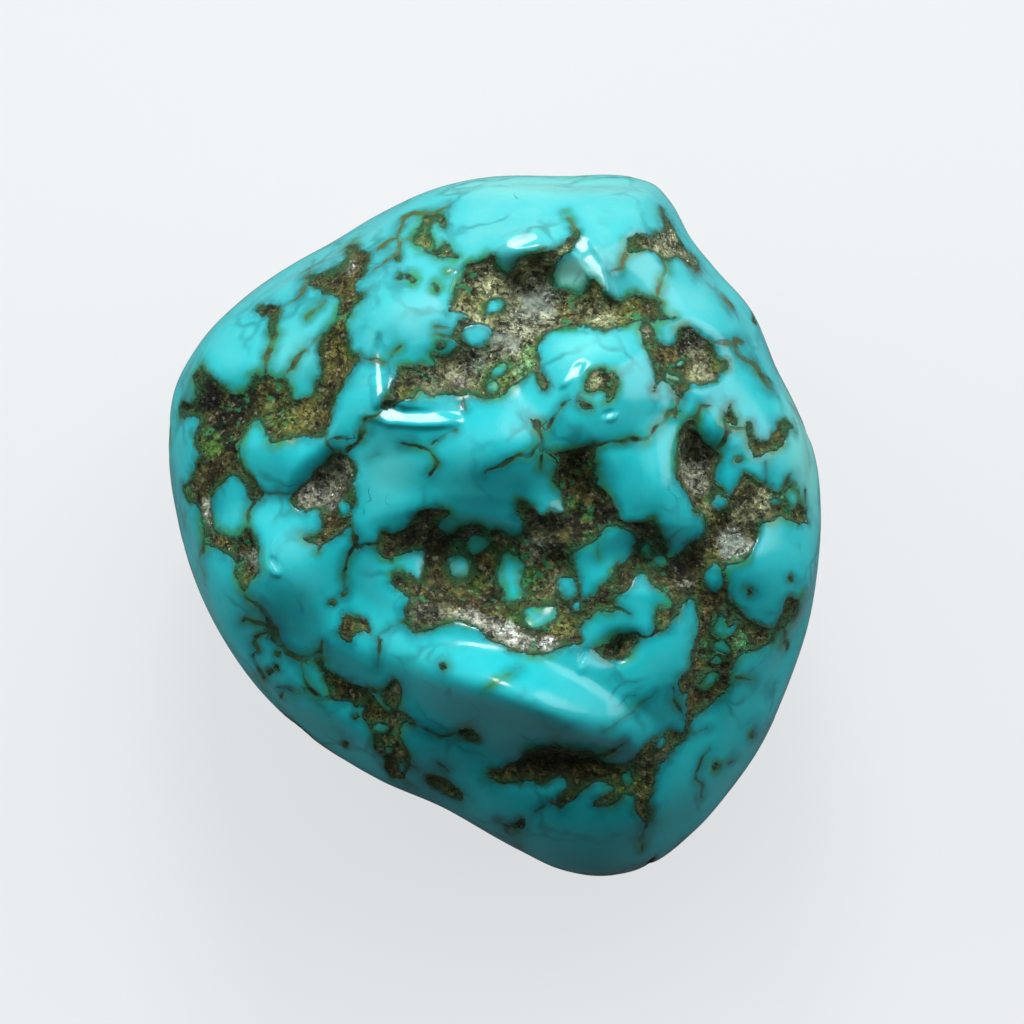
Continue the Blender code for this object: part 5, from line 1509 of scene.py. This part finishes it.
grain_random = f.cells(GRAINS_PER_MM, "Color")
grain_tone = f.add("SeparateColor", {0: grain_random})
earth = f.add("Attribute", {}, "Color", attribute_name="ground")
earth = f.mix(f.ramp(f.noise(1.1, 4.0, 0.7), 0.46, 0.60, 0.0, 0.55), earth, OLIVE_GRAIN)
coarse_tone = f.ramp(f.noise(1.2, 7.0, 0.8), 0.36, 0.64, 0.18, 2.5)
earth = f.shaded(earth, f.times(coarse_tone, f.ramp(grain_tone, 0.0, 1.0, 0.5, 1.5)))
milk = f.ramp(f.noise(1.6, 4.0, 0.6), 0.3, 0.7, 0.55, 1.35)
specks = f.times(f.ramp(f.noise(2.1, 2.0), 0.58, 0.64), f.number("green"))
for share, glaze in (
    (f.times(f.ramp(grain_tone, 0.92, 0.96), 0.28), LIGHT_GRAIN),
    # dark patches: partly dark rock, partly painted shade in small holes
    (f.times(f.ramp(f.noise(2.6, 5.0, 0.7), 0.47, 0.38), 0.9), DARK_ROCK_AND_HOLE_SHADE),
    (f.times(f.ramp(frayed, *MOSS_REACH), fringe), FRINGE_GREEN),
    # painted shade in the crevice at the border
    (f.times(f.ramp(frayed, *CREVICE_SHADE), 0.75), BORDER_SHADE),
    (f.times(f.number("quartz"), 0.75), f.shaded(QUARTZ_CLEAR, milk)),
    (f.times(specks, 0.8), GREEN_RIM),
):
    earth = f.mix(share, earth, glaze)
f.plug("Base Color", f.mix(in_matrix, blue, earth))

# %% The gloss of each
POLISH = (0.15, 0.27)        # roughness of the turquoise, in patches
VEIN_ROUGHER = 0.2
DULL_ROUGHER = 0.3
GRAIN_ROUGHNESS = (0.3, 0.8)
QUARTZ_ROUGHNESS = 0.25
TURQUOISE_REFRACTION = 1.61

polish = f.ramp(f.noise(0.7, 3.0), 0.3, 0.7, *POLISH)
polish = f.sum("MULTIPLY_ADD", in_vein, VEIN_ROUGHER, polish)
polish = f.sum("MULTIPLY_ADD", f.number("dull"), DULL_ROUGHER, polish)
rough = f.ramp(grain_tone, 0.0, 0.25, *GRAIN_ROUGHNESS)
rough = f.between(f.number("quartz"), rough, QUARTZ_ROUGHNESS)
f.plug("Roughness", f.between(in_matrix, polish, rough))
f.shader.inputs["IOR"].default_value = TURQUOISE_REFRACTION
f.shader.inputs["Specular IOR Level"].default_value = 0.32

# %% The relief that is too fine for the mesh, in millimetres
WALL = (-0.08, 0.06)         # distance over which the border drops
WALL_DROP = 0.05
VEIN_DIP = 0.012
RIPPLE = 0.02
CRUMBLE = 0.26
FACET = 0.7                  # slope of the most tilted grains
QUARTZ_CALM = 0.5            # how much less quartz crumbles

wall = f.ramp(frayed, *WALL, -WALL_DROP, 0.0)
tilt = f.add("VectorMath", {0: grain_random, 1: (0.5, 0.5, 0.5)}, operation="SUBTRACT")
across = {0: f.place, 1: f.cells(GRAINS_PER_MM, "Position")}
across = f.add("VectorMath", across, operation="SUBTRACT")
facets = f.add("VectorMath", {0: tilt, 1: across}, "Value", operation="DOT_PRODUCT")
crumble = f.sum("MULTIPLY_ADD", f.noise(4.5, 4.0, 0.7), CRUMBLE, f.times(facets, FACET))
crumble = f.times(crumble, f.sum("MULTIPLY_ADD", f.number("quartz"), -QUARTZ_CALM, in_matrix))
height = f.sum("MULTIPLY_ADD", in_vein, -VEIN_DIP, f.sum("ADD", wall, crumble))
height = f.sum("MULTIPLY_ADD", f.noise(0.8, 2.0), RIPPLE, height)
f.plug("Normal", f.add("Bump", {"Height": height, "Distance": MM, "Strength": 1.0}))
print("stone finish:", len(f.material.node_tree.nodes), "nodes")

skin_piece = placed(skin_mesh, f.material)
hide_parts("nugget")

# %% [markdown]
# ## Crumbs in the hollows
#
# Look into a pit of the real stone and there is sand in it: broken grains of chert and
# quartz that catch the light one by one. Bump alone cannot cast their shadows, so they are
# small solids: twenty-sided balls with their corners knocked in and out, flat shaded, half
# sunk in the floor. All the grains of a kind are one mesh, made from whole arrays.

# %% Broken grains
GRAIN_SEED = 7
KNOCK = (0.62, 1.3)          # how far each corner is knocked in or out
STRETCH = (0.6, 1.25)        # and each grain's length along its three axes
CORNERS = 12                 # of a twenty-sided ball


def ball_of_twenty():
    """Points and triangles of a twenty-sided ball of radius 1."""
    ball = bmesh.new()
    bmesh.ops.create_icosphere(ball, subdivisions=1, radius=1.0)
    points = np.array([corner.co[:] for corner in ball.verts])
    faces = np.array([[corner.index for corner in face.verts] for face in ball.faces])
    ball.free()
    return points, faces


def broken_grains(centres, axes, sizes, source):
    """Grains at the centres: corner = centre + size * (ball corner * knock) along the axes."""
    points, faces = ball_of_twenty()
    knock = source.uniform(*KNOCK, (len(centres), len(points), 1))
    stretch = source.uniform(*STRETCH, (len(centres), 1, 3))
    turned = np.einsum("gpk,gkx->gpx", points * knock * stretch, axes)
    corners = centres[:, None, :] + sizes[:, None, None] * turned
    numbers = faces[None] + (np.arange(len(centres)) * len(points))[:, None, None]
    return corners.reshape(-1, 3), numbers.reshape(-1, 3)


def random_axes(count, source):
    """Three square axes in a random turn for each grain."""
    frames = source.normal(size=(count, 3, 3))
    return np.linalg.qr(frames)[0]


def point_areas(points, corners):
    """Skin area that belongs to each point: a third of the triangles round it."""
    a, b, c = (points[corners[:, k]] for k in range(3))
    area = np.linalg.norm(np.cross(b - a, c - a), axis=1) / 6.0
    return sum(np.bincount(corners[:, k], area, len(points)) for k in range(3))


def strewn(weight, count, source):
    """Numbers of the points that get a grain, drawn by weight without repeats."""
    return source.choice(len(weight), count, replace=False, p=weight / weight.sum())


# %% Where the quartz sits: x, y and radius
QUARTZ_POCKETS = (
    (1.9, 9.65, 1.0), (0.7, 7.9, 0.7), (-0.9, 7.0, 0.8), (10.25, -0.8, 0.75), (-7.4, 1.2, 0.8),
    (0.3, -4.4, 0.8), (-1.3, -3.7, 0.9), (1.7, -5.0, 0.7), (-10.5, -1.4, 0.7), (8.6, 7.9, 0.5),
    (8.6, 2.0, 0.7), (-6.4, 11.0, 0.5), (11.5, 1.0, 0.6), (7.5, 12.2, 0.8), (-12.3, 0.6, 0.5),
)
POCKET_RIM = 0.5
POCKET_FLOOR = 0.1           # height share above which the named pockets are


def pocket_share(points, up):
    """1 in the middle of a quartz pocket and 0 outside all of them.

    Below the show face a mottle gives a few faint ones instead.
    """
    faint = 0.25 * smooth_step((mottle(points, pitch=1.6, salt=103) - 0.72) / 0.1)
    share = faint * (up < POCKET_FLOOR)
    for pocket in QUARTZ_POCKETS:
        share = np.maximum(share, spot(points, *pocket, POCKET_RIM) * (up > POCKET_FLOOR))
    return share


# %% Both kinds strewn over the matrix
GRAIN_COUNT = 2600
GRAIN_SIZES = (0.03, 0.08)   # radius in mm
GRAIN_SINK = 0.25            # share of its radius by which a grain's middle is sunk
GRAIN_TONES = (0.35, 0.8, 1.6, 3.0)
TONE_CHANCES = (0.35, 0.35, 0.2, 0.1)
QUARTZ_COUNT = 260
QUARTZ_SIZES = (0.04, 0.13)
QUARTZ_SINK = 0.35
QUARTZ_MILK = (0.45, 1.25)
ROCK_MARGIN = (0.06, 0.12)   # mm inside the border where grains begin, and over which they come in
FOOT_MARGIN = 0.6            # height in mm under which there are none
THINNED_BY_QUARTZ = 0.7      # share of the plain grains that a quartz pocket keeps out

source = np.random.default_rng(GRAIN_SEED)
normals = outward(stone, triangles)
in_rock = smooth_step((-edge - ROCK_MARGIN[0]) / ROCK_MARGIN[1]) * (stone[:, 2] > FOOT_MARGIN)
room_for_grains = point_areas(stone, triangles) * in_rock
pockets = pocket_share(plain, directions[:, 2])


def strewn_grains(name, weight, count, size_range, sink):
    """A mesh of broken grains on points drawn by weight, and the numbers of those points."""
    picked = strewn(weight, count, source)
    sizes = source.uniform(*size_range, count)
    centres = stone[picked] - sink * sizes[:, None] * normals[picked]
    corners, faces = broken_grains(centres, random_axes(count, source), sizes, source)
    return new_mesh(name, corners, faces, smooth=False), picked


def keep_grain_colour(mesh, colours):
    """Every corner of a grain carries that grain's colour."""
    keep_colour(mesh, "grain_colour", np.repeat(colours, CORNERS, axis=0))


grain_mesh, picked = strewn_grains("matrix_grains", room_for_grains * (1.0 - THINNED_BY_QUARTZ * pockets),
                                   GRAIN_COUNT, GRAIN_SIZES, GRAIN_SINK)
tone = source.choice(GRAIN_TONES, GRAIN_COUNT, p=TONE_CHANCES)
keep_grain_colour(grain_mesh, np.clip(ground[picked] * tone[:, None], 0.004, 0.6))

quartz_mesh, picked = strewn_grains("quartz_crumbs", room_for_grains * pockets,
                                    QUARTZ_COUNT, QUARTZ_SIZES, QUARTZ_SINK)
milk = source.uniform(*QUARTZ_MILK, (QUARTZ_COUNT, 1))
half_way = 0.5 * ground[picked] + 0.5 * np.array(PIGMENTS["quartz"])
keep_grain_colour(quartz_mesh, np.clip(milk * half_way, 0.0, 0.8))
print(len(grain_mesh.polygons), "grain faces,", len(quartz_mesh.polygons), "quartz faces")

# %% [markdown]
# Broken chert is dull and broken quartz is glassy. Both take their colour from the grain they
# belong to, with a little cloud inside it, so no two neighbours look alike.

# %% Finishes of the crumbs
def grain_finish(name, rough_low, rough_high, refraction):
    """Colour from the grain, clouded a little, with a gloss that varies across it."""
    finish = Finish(name)
    colour = finish.add("Attribute", {}, "Color", attribute_name="grain_colour")
    cloud = finish.ramp(finish.noise(9.0, 3.0, 0.6), 0.3, 0.7, 0.6, 1.35)
    finish.plug("Base Color", finish.shaded(colour, cloud))
    finish.plug("Roughness", finish.ramp(finish.noise(5.0), 0.35, 0.65, rough_low, rough_high))
    finish.shader.inputs["IOR"].default_value = refraction
    return finish.material


placed(grain_mesh, grain_finish("chert_grains", rough_low=0.3, rough_high=0.7, refraction=1.5))
placed(quartz_mesh, grain_finish("broken_quartz", rough_low=0.08, rough_high=0.3, refraction=1.54))

# %% [markdown]
# ## Light, floor and camera
#
# A polished stone shows its light sources, so they are part of its look. One small window
# beyond the crown gives the bright glares. Broad panels light the stone: two beyond the
# crown, which leaves the lower side in shade, and one low on each side. Their edges would
# show in the polish, so all but the east one are hidden from it, which gives the east flank
# its soft sheen. The floor and the room glow more for the eye than for the stone, so they
# look pale and the stone's shade stays deep. The camera looks straight down, because the
# stone lies on its back, and it is far away with a long lens, which keeps the outline true.

# %% The floor and the room
FLOOR_SIDE = 3.0
FLOOR_TONE = (0.155, 0.16, 0.165, 1.0)
FLOOR_GLOW = 0.68            # only for the eye, so that the pale floor does not grey the stone
GLOW_TONE = (0.96, 0.985, 1.0, 1.0)
ROOM_TONE = (0.93, 0.96, 1.0, 1.0)
ROOM_SEEN = 0.87
ROOM_DIM = 0.04              # the room's own light
ROOM_SIDES = (0.16, 0.0, 0.0)    # how much stronger it is from the left and the right
ROOM_AHEAD = (0.10, 0.42, 0.0)   # and from the window's side

floor_mesh = bpy.data.meshes.new("floor")
half = FLOOR_SIDE / 2.0
floor_mesh.from_pydata(
    [(-half, -half, 0.0), (half, -half, 0.0), (half, half, 0.0), (-half, half, 0.0)],
    [], [(0, 1, 2, 3)],
)
floor_paint = Finish("pale_floor")
floor_paint.shader.inputs["Base Color"].default_value = FLOOR_TONE
floor_paint.shader.inputs["Roughness"].default_value = 0.7
floor_paint.shader.inputs["Emission Color"].default_value = GLOW_TONE
eye_only = floor_paint.add("LightPath", {}, "Is Camera Ray")
floor_paint.plug("Emission Strength", floor_paint.times(eye_only, FLOOR_GLOW))
floor_mesh.materials.append(floor_paint.material)
floor = bpy.data.objects.new("floor", floor_mesh)
bpy.context.scene.collection.objects.link(floor)

# The room's light from a direction is its dim part, plus ROOM_SIDES on the squares of the
# direction's parts, plus ROOM_AHEAD on the parts themselves where that is above zero.
room = bpy.data.worlds.new("pale_room")
room.use_nodes = True
add_to_room = node_adder(room.node_tree)
direction = add_to_room("TexCoord", {}, "Generated")
squares = add_to_room("VectorMath", {0: direction, 1: direction}, operation="MULTIPLY")
from_sides = add_to_room("VectorMath", {0: squares, 1: ROOM_SIDES}, "Value", operation="DOT_PRODUCT")
ahead = add_to_room("VectorMath", {0: direction, 1: ROOM_AHEAD}, "Value", operation="DOT_PRODUCT")
from_ahead = add_to_room("MapRange", {"Value": ahead, "To Min": ROOM_DIM, "To Max": ROOM_DIM + 1.0})
room_light = add_to_room("Math", {0: from_sides, 1: from_ahead}, operation="ADD")
to_the_eye = add_to_room("LightPath", {}, "Is Camera Ray")
glow = add_to_room("MapRange", {"Value": to_the_eye, "To Min": room_light, "To Max": ROOM_SEEN})
backdrop = room.node_tree.nodes["Background"]
backdrop.inputs["Color"].default_value = ROOM_TONE
room.node_tree.links.new(glow, backdrop.inputs["Strength"])
bpy.context.scene.world = room
print("room light", ROOM_DIM, "seen as", ROOM_SEEN)


# %% The window and the panels
def soft_window(name, place, aim, side, power):
    """A square area light at a place in metres, turned to face a point."""
    lamp = bpy.data.lights.new(name, "AREA")
    lamp.shape = "SQUARE"
    lamp.size = side
    lamp.energy = power
    holder = bpy.data.objects.new(name, lamp)
    holder.location = place
    holder.rotation_euler = (aim - place).to_track_quat("-Z", "Y").to_euler()
    bpy.context.scene.collection.objects.link(holder)
    return holder


STONE_MIDDLE = Vector((0.0, 0.0, 0.5 * float(STONE_BOX[1, 2])))
# Each lamp: way to it from the stone, distance in metres, side, power, seen as a glare or not.
LAMPS = {
    "window": (WINDOW_WAY, 0.42, 0.11, 0.9, True),
    "soft panel": ((0.26, 0.64, 0.72), 0.65, 0.5, 1.8, False),
    "wide fill": ((-0.05, 0.60, 0.80), 0.65, 0.6, 1.35, False),
    "east panel": ((0.86, 0.44, 0.25), 0.6, 0.5, 2.3, True),
    "west panel": ((-0.86, 0.40, 0.32), 0.6, 0.5, 3.0, False),
}
for name, (way_to, distance, lamp_side, power, glares) in LAMPS.items():
    lamp = soft_window(name, STONE_MIDDLE + distance * Vector(way_to), STONE_MIDDLE, lamp_side, power)
    lamp.visible_glossy = glares
    lamp.visible_camera = False
print(len(LAMPS), "lamps")

# %% The camera
PIXELS_PER_MM = 23.25        # how large the stone is drawn
FRAME_PIXELS = 1024
VIEW_CENTRE = (0.00075, 0.00058)
CAMERA_HEIGHT = 0.8          # metres above the floor
GIRDLE_HEIGHT = 0.009        # of the stone's widest line, where that scale is true
SENSOR = 36.0
NEAREST_SEEN = 0.01
FARTHEST_SEEN = 20.0

eye = bpy.data.cameras.new("eye")
eye.sensor_width = SENSOR
frame_width = FRAME_PIXELS / PIXELS_PER_MM * MM
eye.lens = SENSOR * (CAMERA_HEIGHT - GIRDLE_HEIGHT) / frame_width
eye.clip_start = NEAREST_SEEN
eye.clip_end = FARTHEST_SEEN
camera = bpy.data.objects.new("eye", eye)
camera.location = (*VIEW_CENTRE, CAMERA_HEIGHT)
bpy.context.scene.collection.objects.link(camera)
bpy.context.scene.camera = camera
bpy.context.scene.view_settings.view_transform = "Standard"
print("lens", round(eye.lens), "mm")
